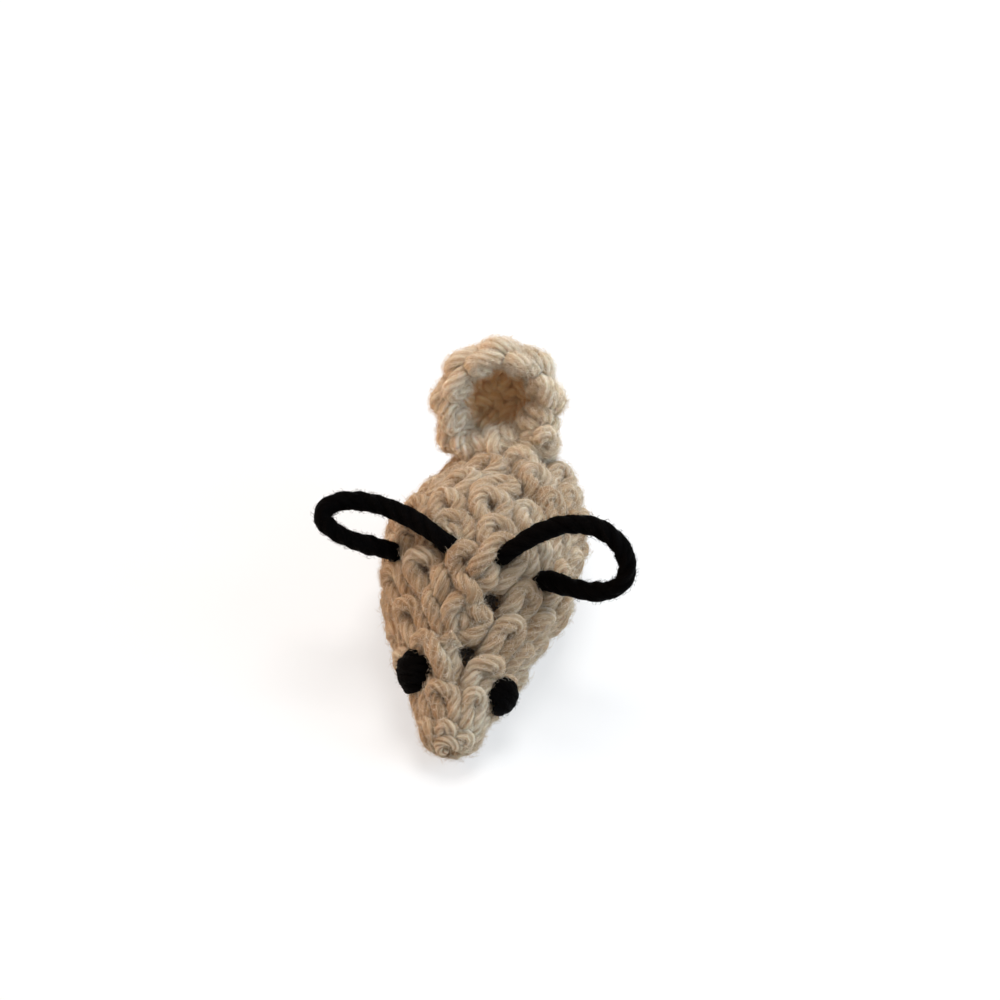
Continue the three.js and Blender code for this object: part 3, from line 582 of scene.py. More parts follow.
def yarn_material(name, shades, deep, roughness, specular, soak, glow=None):
    """Loosely spun yarn: fibres run along each ply as pale and dark streaks, the wool takes on the deep
    colour as painted shade as far as the painted shade attribute says (in the grooves between plies, and on
    the cover deep in the fabric), and the tone drifts slowly over the piece. Light soaks a little way into
    wool, which warms its shadows. Where a piece carries the painted glow attribute, the glow colour is mixed
    in as painted light: a lighter, warmer tint that stands in for light coming through the fabric behind it."""
    material, tree = new_material(name)
    laid = add_node(tree, "ShaderNodeAttribute", attribute_name="laid")
    painted_shade = add_node(tree, "ShaderNodeAttribute", attribute_name="painted_shade")
    place = add_node(tree, "ShaderNodeTexCoord")
    coarse = add_node(tree, "ShaderNodeMapping", {"Vector": laid.outputs["Vector"]}, {"Scale": PLY_STREAKS})
    bundles = add_node(tree, "ShaderNodeTexNoise", {"Vector": coarse.outputs[0]},
                       {"Scale": 1.0, "Detail": 2.0, "Roughness": 0.5, "Distortion": 0.8})
    finer = add_node(tree, "ShaderNodeMapping", {"Vector": laid.outputs["Vector"]}, {"Scale": FIBRE_STREAKS})
    single = add_node(tree, "ShaderNodeTexNoise", {"Vector": finer.outputs[0]},
                      {"Scale": 1.0, "Detail": 3.0, "Roughness": 0.7, "Distortion": 1.6})
    fibres = add_node(tree, "ShaderNodeMix", {2: bundles.outputs["Fac"], 3: single.outputs["Fac"]},
                      {0: FIBRE_SHARE})
    drift = add_node(tree, "ShaderNodeTexNoise", {"Vector": place.outputs["Object"]},
                     {"Scale": per_metre(DRIFT_SIZE), "Detail": 4.0})
    tone = add_node(tree, "ShaderNodeMix", {2: fibres.outputs[0], 3: drift.outputs["Fac"]}, {0: DRIFT_SHARE})
    ramp = add_node(tree, "ShaderNodeValToRGB", {"Fac": tone.outputs[0]})
    spread_shades(ramp, shades, YARN_EDGE)
    # Painted shade: where the painted shade attribute says, the colour is mixed towards the deep colour
    depth = add_node(tree, "ShaderNodeMath", {0: painted_shade.outputs["Fac"]}, {1: GROOVE_SHADE_SHARE},
                     operation="MULTIPLY")
    surface = add_node(tree, "ShaderNodeMix", {0: depth.outputs[0], 6: ramp.outputs["Color"]},
                       {7: colour(deep)}, data_type="RGBA")
    if glow:
        hollow = add_node(tree, "ShaderNodeAttribute", attribute_name="hollow")
        surface = add_node(tree, "ShaderNodeMix", {0: hollow.outputs["Fac"], 6: surface.outputs[2]},
                           {7: colour(glow)}, data_type="RGBA")
    bump = add_node(tree, "ShaderNodeBump", {"Height": fibres.outputs[0]},
                    {"Strength": 0.9, "Distance": FIBRE_RELIEF * MM})
    shader = add_node(tree, "ShaderNodeBsdfPrincipled",
                      {"Base Color": surface.outputs[2], "Normal": bump.outputs[0]},
                      {"Roughness": roughness, "IOR": 1.5, "Specular IOR Level": specular,
                       "Sheen Weight": soak / 4, "Sheen Roughness": 0.5, "Subsurface Weight": soak,
                       "Subsurface Radius": (1.0, 0.6, 0.35), "Subsurface Scale": SOAK_DEPTH * MM})
    add_node(tree, "ShaderNodeOutputMaterial", {"Surface": shader.outputs[0]})
    return material


def fuzz_material(name, shades, sheen):
    """Stray fibres: pale and dark ones side by side, by a fine noise, and quite matt."""
    material, tree = new_material(name)
    place = add_node(tree, "ShaderNodeTexCoord")
    spots = add_node(tree, "ShaderNodeTexNoise", {"Vector": place.outputs["Object"]},
                     {"Scale": per_metre(FUZZ_SPOT), "Detail": 1.0})
    ramp = add_node(tree, "ShaderNodeValToRGB", {"Fac": spots.outputs["Fac"]})
    spread_shades(ramp, shades, LOOSE_EDGE)
    shader = add_node(tree, "ShaderNodeBsdfPrincipled", {"Base Color": ramp.outputs["Color"]},
                      {"Roughness": 1.0, "Specular IOR Level": 0.03, "Sheen Weight": sheen})
    add_node(tree, "ShaderNodeOutputMaterial", {"Surface": shader.outputs[0]})
    return material


def filling_material(name, shades, clump, relief, roughness):
    """Matted fibres or crushed leaves: a strongly broken noise chooses between three shades and lifts
    them."""
    material, tree = new_material(name)
    place = add_node(tree, "ShaderNodeTexCoord")
    clumps = add_node(tree, "ShaderNodeTexNoise", {"Vector": place.outputs["Object"]},
                      {"Scale": per_metre(clump), "Detail": 6.0, "Roughness": 0.7, "Distortion": 1.5})
    ramp = add_node(tree, "ShaderNodeValToRGB", {"Fac": clumps.outputs["Fac"]})
    spread_shades(ramp, shades, LOOSE_EDGE)
    bump = add_node(tree, "ShaderNodeBump", {"Height": clumps.outputs["Fac"]},
                    {"Strength": 1.0, "Distance": relief * MM})
    shader = add_node(tree, "ShaderNodeBsdfPrincipled",
                      {"Base Color": ramp.outputs["Color"], "Normal": bump.outputs[0]},
                      {"Roughness": roughness, "Sheen Weight": 0.2})
    add_node(tree, "ShaderNodeOutputMaterial", {"Surface": shader.outputs[0]})
    return material


# Undyed wool: its scaly fibres scatter light, so it is matt, and it lets some in, so its shadows are warm.
# Its deep colour is painted shade, in the grooves between plies and deep in the fabric.
CREAM_YARN = yarn_material("cream_wool_yarn", ("#a18261", "#c3a98a", "#decfb6"), "#8c6843",
                           roughness=0.95, specular=0.08, soak=0.4)
# The same wool on the tail, painted paler as painted light where it stands up in the light, with a painted
# glow in the cup's cavity for light coming through from behind. Its deep colour is painted shade in the
# grooves.
TAIL_WOOL_PAINTED_LIGHT = yarn_material("cream_wool_tail_painted_light", ("#d2ba99", "#efddc3", "#fdf3e2"), "#c0a17a",
                          roughness=0.95, specular=0.08, soak=0.4, glow="#ffc583")
# Wool dyed black, smoother and closer spun: nearly all light is lost in it, and only ridges catch a gleam.
# Its grooves get a painted shade of the darkest black.
DARK_YARN = yarn_material("black_wool_yarn", ("#010000", "#020101", "#080606"), "#010000",
                          roughness=0.6, specular=0.03, soak=0.0)
# Single fibres of those wools, painted paler than their yarn as painted light, for the light that goes round
# and through them.
FUZZ = fuzz_material("wool_fuzz", ("#bfa588", "#e4d7c2"), 0.2)
# On the tail the fibres are painted paler still, as painted light, and in the cup's cavity orange, as
# painted glow for light coming through the fabric.
TAIL_FUZZ_PAINTED_LIGHT = fuzz_material("wool_fuzz_tail_painted_light", ("#d9c2a3", "#fdf0dc"), 0.2)
PAINTED_GLOW_FUZZ = fuzz_material("wool_fuzz_painted_glow", ("#e6ad72", "#ffe0b4"), 0.1)
DARK_FUZZ = fuzz_material("dark_wool_fuzz", ("#020101", "#161210"), 0.0)
# Carded wadding of undyed wool, its brown painted darker as painted shade, as it shows only in the shaded
# gaps between stitches: matted, with soft clumps of 1.1 mm.
WADDING = filling_material("wool_wadding", ("#5f4a33", "#8a7052", "#b39a78"), clump=10 / 9, relief=0.4,
                           roughness=1.0)
# Dried leaf: crumbs of 0.7 mm, grey-brown with pale ribs, dull because the leaf is downy.
CATNIP = filling_material("dried_catnip", ("#241d18", "#4d4136", "#a0937c"), clump=5 / 7, relief=0.4,
                          roughness=0.95)

# Eyes' windings and holes in the cover

EYE_CLOSE = 0.74           # how much of their solid's length the eye's wraps take up, pressed together
EYE_WRAPS = 4.3            # the yarn is wound closer than in the solid, which has fewer and wider turns
EYE_CROWN, EYE_TAPER, EYE_TAPER_POWER = 1.08, 0.65, 2.6    # the winding is fullest in its middle
EYE_POINTS = 150
EYE_PRESS, EYE_PRESS_BESIDE, EYE_PRESS_AHEAD = 1.5, 2.2, 3.2    # how far it presses stitches in, and where
EAR_HOLES = [RIGHT_EAR["inner"], RIGHT_EAR["outer"], LEFT_EAR["inner"], LEFT_EAR["outer"]]
EAR_HOLE_RADIUS = 1.9
HOLE_SHIFTS = (-5, 0, 2, 0)    # degrees by which these holes stand off the ear yarn, held open by its lean
HEAD_GAPS = [(0.336, 19.0), (0.212, 6.0)]
HEAD_GAP_RADII = (2.1, 1.95)


def eye_coil(eye, size):
    """The line of an eye's winding, a helix round a stitch, with the place and the axis that it is wound
    round."""
    point, normal, along, across = skin_place(eye["share"], eye["around"])
    lean = math.radians(eye["lean"])
    axis = along * math.cos(lean) + across * math.sin(lean)
    centre = point - EYE_SINK * normal
    side = np.cross(axis, normal)
    t = np.linspace(-1, 1, EYE_POINTS)[:, None]
    angle = TURN * EYE_WRAPS / 2 * t
    coil = centre + axis * size * EYE_CLOSE * EYE_PITCH * EYE_TURNS / 2 * t
    radius = size * EYE_COIL_RADIUS * (EYE_CROWN - EYE_TAPER * np.abs(t) ** EYE_TAPER_POWER)
    return coil + radius * (normal * np.cos(angle) + side * np.sin(angle)), point, axis


EYES = {"right_eye": eye_coil(RIGHT_EYE, 1.0), "left_eye": eye_coil(LEFT_EYE, LEFT_EYE_SIZE)}
ROOMS = [(*skin_place(share, around + shift)[:2], EAR_HOLE_RADIUS)
         for (share, around), shift in zip(EAR_HOLES, HOLE_SHIFTS)]
ROOMS += [(*skin_place(*gap)[:2], radius) for gap, radius in zip(HEAD_GAPS, HEAD_GAP_RADII)]

# The cover

# Where the fabric swells or is drawn in a little: the share of the length, the angle round it, how far the
# form reaches in both, and how far out it goes.
FORMS = np.array([
    (0.42, 88, 0.17, 45, -1.1),      # left flank
    (0.50, -85, 0.09, 35, -0.8),     # right flank
    (0.95, 75, 0.06, 45, 1.1),       # the shoulders that the tail stands between
    (0.95, -68, 0.06, 45, 1.6),
    (0.44, 1, 0.05, 11, 0.9),        # stitches over the yarn that joins the ears
])
SKIN_ENDS = 0.05           # how near to the poles a stitch may come
NOSE_END = -BODY_LENGTH / 2
NOSE_TIGHTNESS = 0.22      # how much thinner the yarn is drawn at the tip of the nose
NOSE_TIGHT_LENGTH = 12
NOSE_MARGIN = 1.9          # the yarn's middle line keeps this far behind the tip
COVER_TOUCH, COVER_ROUNDS = 0.96, 30
STITCH_STEPS, SETTLED_STEPS = 8, 3    # points to a span of a strand's line, before it settles and after
RING_SPACING = 0.32        # between the rings of a finished yarn
# How much painted shade the grooves between plies get on the cover
GROOVE_DARKENS = 0.7
SHADE_DEPTHS = (0.4, 2.6)  # painted shade: the wool is painted darker from the first depth in the fabric to the second
FUZZ_DEPTH = 1.7           # how deep in the fabric fibres still show
COVER_PIECES, FUZZ_PIECES, FUZZ_FIBRES = 3, 4, 15000
LONG_FIBRE = 1.4


def swelling(run, turns):
    """How far the fabric stands out from the frame's skin: the sum of the forms, each a bell in both
    directions."""
    share = np.interp(run, MERIDIAN, MERIDIAN_SHARE)
    at, around, reach, wide, out = FORMS.T
    ahead = (share[:, None] - at) / reach
    beside = ((360 * turns[:, None] - around + 180) % 360 - 180) / wide
    return (out * np.exp(-(ahead**2) - beside**2)).sum(axis=1)


def on_skin(run, turns, out):
    """Carries a stitch's control points onto the body. Under an eye's winding the stitches are pressed in.
    Each row is a place, its height over the fabric's outer face, and the direction outwards there."""
    run = np.clip(run, SKIN_ENDS, MERIDIAN_LENGTH - SKIN_ENDS)
    turns = FIRST_TURN + WORK_DIRECTION * turns
    points, normal = skin(run, turns, out + STITCH_DEPTH + swelling(run, turns))
    for _, place, axis in EYES.values():
        away = points - place
        ahead = away @ axis
        beside = np.linalg.norm(away - ahead[:, None] * axis, axis=1)
        press = EYE_PRESS * np.exp(-(beside / EYE_PRESS_BESIDE) ** 2 - (ahead / EYE_PRESS_AHEAD) ** 4)
        points = points - normal * press[:, None]
    return np.column_stack([points, out + STITCH_DEPTH, normal])


def drawn_thickness(line):
    """The yarn's thickness along a strand of the cover: it is pulled thin at the nose."""
    return YARN * (1 - NOSE_TIGHTNESS * (1 - smoothstep(line[:, 1], NOSE_END, NOSE_END + NOSE_TIGHT_LENGTH)))


strand = evenly(catmull_rom(stitch_strand(lay_out_rounds(), on_skin, seed=11), STITCH_STEPS), SPACING)
settled = strand.copy()
settled[:, :3] = part_crowded(strand[:, :3], strand[:, :3], drawn_thickness(strand) * COVER_TOUCH,
                              COVER_ROUNDS, ROOMS)
settled[:, 2] = pressed_back(settled[:, 2], YARN / 2 * FULLNESS)
settled[:, 1] = pressed_back(settled[:, 1], NOSE_END + NOSE_MARGIN)
cover_line = evenly(catmull_rom(settled, SETTLED_STEPS), RING_SPACING)
points, laid, painted_shade = plied_yarn(cover_line[:, :3], drawn_thickness(cover_line) * FULLNESS, seed=20)

# How deep each of the yarn's points lies under the fabric's outer face; deeper points get more painted
# shade. Where the mouse rests it is pressed flat.
lifted = ((points - cover_line[:, None, :3]) * unit(cover_line[:, None, 4:])).sum(axis=-1)
depth = -cover_line[:, None, 3] - lifted
points[..., 2] = np.maximum(points[..., 2], 0)
# The painted shade of the cover: its grooves between plies or its depth in the fabric, whichever is the more
cover_yarn = points, laid, np.maximum(GROOVE_DARKENS * painted_shade, smoothstep(depth, *SHADE_DEPTHS))
edges = np.linspace(0, len(cover_line) - 1, COVER_PIECES + 1).astype(int)
for k in range(COVER_PIECES):
    piece = add_yarn(f"cover_yarn_{k + 1}", cover_yarn, CREAM_YARN, [(edges[k], edges[k + 1])])
    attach(piece, "body")
    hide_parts("body_cover")

for k in range(FUZZ_PIECES):
    piece = add_fuzz(f"cover_fuzz_{k + 1}", cover_yarn, FUZZ, FUZZ_FIBRES, LONG_FIBRE,
                     seed=31 + k, seen=depth < FUZZ_DEPTH)
    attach(piece, "body")

# Drawn loops at the nose and the rump

LOOP_RADIUS, LOOP_YARN, LOOP_ARC = 1.05, 1.5, 235
LOOP_END = (0.2, 3.4)      # where the straight end starts and stops, from the ring inwards
LOOP_POINTS, LOOP_END_POINTS, LOOP_SPACING = 40, 12, 0.2


def drawn_loop(share, inward):
    """A ring that runs round for most of a turn and then straight into the body."""
    x, y, z, _, _ = body_section(np.array(share))
    angle = np.radians(np.linspace(0, LOOP_ARC, LOOP_POINTS))
    ring = np.stack([LOOP_RADIUS * np.cos(angle), 0 * angle, LOOP_RADIUS * np.sin(angle)], -1)
    inside = ring[-1] + np.linspace(*LOOP_END, LOOP_END_POINTS)[:, None] * np.array([0, inward, 0])
    return np.vstack([ring, inside]) + np.array([x, y, z])


for name, share, inward in (("nose_ring", 0.02, 1), ("closing_ring", 0.98, -1)):
    yarn = plied_yarn(evenly(drawn_loop(share, inward), LOOP_SPACING), LOOP_YARN, pitch=6, seed=5)
    piece = add_yarn(name + "_yarn", yarn, CREAM_YARN)
    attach(piece, "body")
    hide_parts(name)

# Filling

LUMP_RINGS, LUMP_SIDES = 60, 72
LUMP_INSET = 3.9           # the cover's thickness, and a little air
LUMP_BLUNTNESS = 0.35      # the lower, the blunter its ends
LUMP_POLES = (0.01, 0.99)  # each end is closed by a small flat
LUMP_WAVES, WAVE_HEIGHT = 8, 0.12
WAVES_ALONG, WAVES_ROUND = 9, (2, 12)


def lump(first, last, seed):
    """A stuffed lump: the skin drawn in by an inset between two shares of the length, with rounded ends, and
    pushed in and out by a few seeded waves."""
    rng = np.random.default_rng(seed)
    i, j = np.meshgrid(np.linspace(0, 1, LUMP_RINGS), np.arange(LUMP_SIDES) / LUMP_SIDES, indexing="ij")
    share = first + (last - first) * (1 - np.cos(math.pi * i)) / 2
    x, y, z, half_width, half_height = body_section(share)
    rounded = np.sin(math.pi * np.clip(i, *LUMP_POLES)) ** LUMP_BLUNTNESS
    along, around = rng.uniform(1, 4, LUMP_WAVES), rng.integers(*WAVES_ROUND, LUMP_WAVES)
    starts = rng.uniform(0, TURN, LUMP_WAVES)
    waves = sum(WAVE_HEIGHT * np.sin(a * WAVES_ALONG * i + b * TURN * j + c)
                for a, b, c in zip(along, around, starts))
    across = (half_width - LUMP_INSET) * rounded + waves * rounded
    up = (half_height - LUMP_INSET) * rounded + waves * rounded
    return np.stack([x + across * np.sin(TURN * j), y, z + up * np.cos(TURN * j)], -1)


for name, first, last, material, slot in (
        ("head_stuffing", 0.19, 0.43, WADDING, "wadding"),
        ("catnip_fill", 0.43, 0.66, CATNIP, "catnip"),
        ("rump_stuffing", 0.66, 0.91, WADDING, "wadding")):
    points = lump(first, last, seed=len(name))
    piece = add_piece(name + "_lump", points, tube_faces(*points.shape[:2]), material)
    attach(piece, "body")
    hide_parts(name)

# Crumbs of catnip

# Crushed leaves have worked up to the two gaps on the head, where they show. Each is a flat crumb.
CRUMB = np.array([(1, 0, 0), (0, 1, 0), (-1, 0, 0), (0, -1, 0), (0, 0, 0.3), (0, 0, -0.3)])
CRUMB_FACES = np.array([
    (0, 1, 4), (1, 2, 4), (2, 3, 4), (3, 0, 4), (1, 0, 5), (2, 1, 5), (3, 2, 5), (0, 3, 5),
])
CRUMBS, CRUMB_SPREAD, CRUMB_DEPTHS = 150, 0.95, (2.5, 3.3)
CRUMB_SIZES, CRUMB_CORNERS = (0.16, 0.5), (0.7, 1.3)

rng = np.random.default_rng(27)
heaps = []
for gap in HEAD_GAPS:
    point, normal, along, across = skin_place(*gap)
    spread = rng.normal(0, CRUMB_SPREAD, (CRUMBS, 2))
    deep = rng.uniform(*CRUMB_DEPTHS, (CRUMBS, 1))
    middle = point - deep * normal + spread[:, :1] * along + spread[:, 1:] * across
    turned = np.linalg.qr(rng.normal(0, 1, (CRUMBS, 3, 3)))[0]
    turned *= np.sign(np.linalg.det(turned))[:, None, None]
    sizes = rng.uniform(*CRUMB_SIZES, (CRUMBS, 1, 3))
    shape = CRUMB[None] * sizes * rng.uniform(*CRUMB_CORNERS, (CRUMBS, len(CRUMB), 3))
    heaps.append(middle[:, None] + shape @ turned)
crumbs = np.concatenate(heaps)
faces = (CRUMB_FACES[None] + len(CRUMB) * np.arange(len(crumbs))[:, None, None]).reshape(-1, 3)
piece = add_piece("catnip_crumbs", crumbs, faces.tolist(), CATNIP, flat_faces=len(faces))
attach(piece, "body")

# Eyes

EYE_YARN, EYE_SPACING = 1.9, 0.14
for name, (coil, _, _) in EYES.items():
    thickness = EYE_YARN if name == "right_eye" else EYE_YARN * LEFT_EYE_SIZE
    yarn = plied_yarn(evenly(coil, EYE_SPACING), thickness, plies=4, pitch=9, depth=0.07, seed=3)
    piece = add_yarn(name + "_winding", yarn, DARK_YARN)
    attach(piece, "body")
    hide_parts(name)
    piece = add_fuzz(name + "_fuzz", yarn, DARK_FUZZ, count=900, longest=0.8, seed=7)
    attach(piece, "body")

# Ears

EAR_YARN = 2.3
EAR_RUN_IN = (2.2, 0.4)    # from how deep to how deep the ends run on straight into the cover
EAR_POINTS, EAR_END_POINTS = 160, 6
EAR_COARSE, EAR_STEPS, EAR_SPACING = 0.8, 5, 0.2    # the line is smoothed through points this far apart


def ear_line(ear):
    """A teardrop loop from the inner entry out to the tip and back to the outer entry, with both ends run on
    into the cover. Also gives the inner entry."""
    inner, inner_normal = skin_place(*ear["inner"])[:2]
    outer, outer_normal = skin_place(*ear["outer"])[:2]
    start, end = inner - EAR_ENTRY_DEPTH * inner_normal, outer - EAR_ENTRY_DEPTH * outer_normal
    heading, lift = math.radians(ear["heading"]), math.radians(ear["lift"])
    level_reach = math.cos(lift)
    outward = np.array([math.cos(heading) * level_reach, math.sin(heading) * level_reach, math.sin(lift)])
    level = unit(np.cross(outward, UP))
    roll = math.radians(ear["roll"])
    sideways = level * math.cos(roll) + np.cross(outward, level) * math.sin(roll)
    axis = unit(end - start)
    across = unit(np.cross(axis, inner_normal + outer_normal))
    upward = np.cross(across, axis)
    angle = np.linspace(0, TURN, EAR_POINTS)[:, None]
    half = np.abs(np.sin(angle / 2))
    loop = start + (end - start) * (angle - np.sin(angle)) / TURN
    loop = loop + upward * EAR_RISE * half**EAR_RISE_POWER + outward * ear["reach"] * (1 - np.cos(angle)) / 2
    loop = loop + sideways * ear["half_width"] * TEARDROP_SHARE * np.sin(angle) * half
    inwards = np.linspace(*EAR_RUN_IN, EAR_END_POINTS)[:, None]
    return np.vstack([start - inwards * inner_normal, loop, end - inwards[::-1] * outer_normal]), start


INNER_ENDS = {}
for name, ear in EARS.items():
    loop, INNER_ENDS[name] = ear_line(ear)
    smooth = evenly(catmull_rom(evenly(loop, EAR_COARSE), EAR_STEPS), EAR_SPACING)
    yarn = plied_yarn(smooth, EAR_YARN, plies=4, depth=0.14, sides=24, seed=9)
    piece = add_yarn(name + "_yarn", yarn, DARK_YARN)
    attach(piece, name)
    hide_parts(name)
    piece = add_fuzz(name + "_fuzz", yarn, DARK_FUZZ, count=1800, longest=0.9, seed=17)
    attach(piece, name)

# The tail's strip

ROOT_POINT, ROOT_NORMAL, _, _ = skin_place(*TAIL_ROOT)
CUP_AXIS = direction(CURL_AZIMUTH, CURL_ELEVATION)
CUP_ACROSS = np.array([math.cos(math.radians(CURL_AZIMUTH)), math.sin(math.radians(CURL_AZIMUTH)), 0])
CUP_UP = np.cross(CUP_AXIS, CUP_ACROSS)
CUP_CORNER, CUP_CORNER_TURN = 1.4, 238     # the cup's wall stands out where it comes down onto the rump
CORNER_BEFORE, CORNER_AFTER = 32, 18       # degrees over which it does
RUN_ON_TURN = 322          # the yarn runs on round the cup's foot, past the end of the frame's strip
FRAME_STEPS, RUN_ON_POINTS, PATH_SPACING = 30, 60, 0.05
CUP_SHIFT = np.array([0, -0.4, -0.6])
CUPPED_SHARE = 0.2         # where along the strip the cup's section is reached
STRIP_HALF_WIDTH = 3.7
# The cup's wall and floor in section, from the middle of the floor to the rim: out from the curl, and to the
# mouth.
CUP_CORNERS = np.array([(-4.2, -3.2), (-2.6, -3.1), (-0.8, -2.3), (0.2, -0.6), (0.7, 1.2), (0.9, 3.0)])
SECTION_STEPS, SECTION_SPACING = 12, 0.1
CUP_SECTION = evenly(catmull_rom(CUP_CORNERS, SECTION_STEPS), SECTION_SPACING)
CUP_SECTION_RUN = np.linspace(-1, 1, len(CUP_SECTION))
SECTION_STEP = 0.05        # the section's slope is taken over this share of the width to either side


def cup_line(turns):
    """Points of the cup's circle at angles in degrees."""
    angle = np.radians(turns)[:, None]
    beyond = turns[:, None] - CUP_CORNER_TURN
    reach = np.where(beyond < 0, CORNER_BEFORE, CORNER_AFTER)
    radius = CURL_RADIUS + CUP_CORNER * np.exp(-(beyond / reach) ** 2)
    return ROOT_POINT + CURL_OFFSET + radius * (CUP_ACROSS * np.cos(angle) + CUP_UP * np.sin(angle))


TAIL_START = ROOT_POINT - TAIL_ROOT_SINK * ROOT_NORMAL
FRAME_CURL = cup_line(np.linspace(*CURL_TURN, CURL_POINTS))
FRAME_PATH = catmull_rom(np.vstack([TAIL_START, FRAME_CURL]), FRAME_STEPS)
TAIL_LENGTH = line_length(FRAME_PATH)
RUN_ON = cup_line(np.linspace(CURL_TURN[1], RUN_ON_TURN, RUN_ON_POINTS))[1:]
TAIL_PATH = evenly(np.vstack([FRAME_PATH, RUN_ON]), PATH_SPACING)
TAIL_END = line_length(TAIL_PATH) / TAIL_LENGTH
TAIL_RUN = np.linspace(0, TAIL_END, len(TAIL_PATH))
TAIL_TANGENT = unit(np.gradient(TAIL_PATH, axis=0))


def strip_section(width_share, cupped):
    """Where a share of the strip's width, from -1 at the foundation chain to 1 at the rim, lies out from the
    curl and towards the mouth. A flat strip at the root turns into the cup's section, which goes on straight
    past its ends."""
    inside = np.clip(width_share, -1, 1)
    bent = along_line(inside, CUP_SECTION_RUN, CUP_SECTION)
    past_rim = (width_share > 0)[:, None]
    slope = np.where(past_rim, CUP_SECTION[-1] - CUP_SECTION[-2], CUP_SECTION[1] - CUP_SECTION[0])
    bent = bent + unit(slope) * ((width_share - inside) * STRIP_HALF_WIDTH)[:, None]
    lean = math.radians(FLARE)
    flat = (width_share * STRIP_HALF_WIDTH)[:, None] * np.array([math.sin(lean), math.cos(lean)])
    return flat + (bent - flat) * cupped[:, None]


def on_strip(width_share, share, out):
    """A point of the tail's strip: a share of the length along its middle, a share across its width and a
    distance out from the curl. The section's slope gives the direction outwards."""
    inside = np.clip(share, 0, TAIL_END)
    middle = along_line(inside, TAIL_RUN, TAIL_PATH)
    tangent = unit(along_line(inside, TAIL_RUN, TAIL_TANGENT))
    middle = middle + tangent * ((share - inside) * TAIL_LENGTH)[:, None]
    outward = unit(np.cross(tangent, CUP_AXIS))
    forward = np.cross(outward, tangent)
    cupped = smoothstep(inside, 0, CUPPED_SHARE)
    middle = middle + cupped[:, None] * CUP_SHIFT
    place = strip_section(width_share, cupped)
    wider, narrower = width_share + SECTION_STEP, width_share - SECTION_STEP
    slope = unit(strip_section(wider, cupped) - strip_section(narrower, cupped))
    across = outward * slope[:, :1] + forward * slope[:, 1:]
    through = np.cross(tangent, across)
    points = middle + outward * place[:, :1] + forward * place[:, 1:] + through * out[:, None]
    return np.column_stack([points, share])


# The tail's yarn

TAIL_YARN = 1.9
TAIL_TOUCH, TAIL_ROUNDS = 0.88, 28
FLOOR_STITCHES, FLOOR_ROW = 5, (-0.9, -0.1)    # each row goes from one share of the width to another
RIM_STITCHES, RIM_ROW = 10, (-0.1, 0.9)
SCALLOP, SCALLOP_RISE = 0.9, (0.2, 0.9)        # how far each of the rim's stitches stands out, and where
ROW_DEPTH, ROW_LIFT = 0.45, 0.3                # stitches are flatter here than on the body, and further out
CHAIN_LINKS = 5
# The yarn makes a foundation chain, then a row of stitches back along it for the floor, and a row out again
# for the rim. One link of the chain: along in links, across in the link's widths, out in mm.
CHAIN = np.array([
    (0.0, -0.12, 0.0), (0.45, -0.38, 0.5), (0.95, -0.30, 0.5), (1.22, 0.0, -0.1), (0.95, 0.30, 0.5),
    (0.45, 0.38, 0.5), (0.05, 0.12, 0.0), (0.15, 0.0, -0.9), (0.6, 0.0, -1.0),
])
CHAIN_WIDTH, CHAIN_AT, CHAIN_DEPTH = 0.5, 1.0, 0.8


def foundation_chain():
    """The chain's links one after another along the strip's inner edge."""
    run = np.arange(CHAIN_LINKS)[:, None] + CHAIN[None, :, 0]
    across = np.broadcast_to(CHAIN[None, :, 1] * CHAIN_WIDTH - CHAIN_AT, run.shape)
    out = np.broadcast_to(CHAIN[None, :, 2] * CHAIN_DEPTH, run.shape)
    return on_strip(across.ravel(), run.ravel() * TAIL_END / CHAIN_LINKS, out.ravel())


def strip_row(count, span, place, seed):
    """A row of stitches on the strip, between two shares of its width."""
    foot, top = span
    turns = (np.arange(count) + 0.5) / count
    rows = {"top": np.full(count, top), "foot": np.full(count, foot), "turns": turns, "foot_turns": turns,
            "width": np.full(count, 1 / count)}
    return stitch_strand(rows, place, seed)


def worked_back(run, turns, out):
    """Carries a row of stitches onto the strip, from the tip back to the root."""
    return on_strip(run, TAIL_END * (1 - turns), ROW_DEPTH * out + ROW_LIFT)


def worked_out(run, turns, out):
    """Carries the rim's stitches onto the strip, from the root out to the tip. Each stands out in a bump of
    its own."""
    bump = SCALLOP * (0.5 - 0.5 * np.cos(TURN * RIM_STITCHES * turns)) * smoothstep(run, *SCALLOP_RISE)
    return on_strip(run, TAIL_END * turns, ROW_DEPTH * out + ROW_LIFT + bump)


floor_row = strip_row(FLOOR_STITCHES, FLOOR_ROW, worked_back, seed=12)
rim_row = strip_row(RIM_STITCHES, RIM_ROW, worked_out, seed=13)
tail_raw = evenly(catmull_rom(np.vstack([foundation_chain(), floor_row, rim_row]), STITCH_STEPS), SPACING)
tail_points = part_crowded(tail_raw[:, :3], tail_raw[:, :3], TAIL_YARN * TAIL_TOUCH, TAIL_ROUNDS,
                           fixed=settled[:, :3])
tail_line = evenly(catmull_rom(np.column_stack([tail_points, tail_raw[:, 3]]), SETTLED_STEPS), RING_SPACING)
tail_share = tail_line[:, 3]
tail_yarn = plied_yarn(tail_line[:, :3], TAIL_YARN * FULLNESS, seed=40)

# The tail's pieces

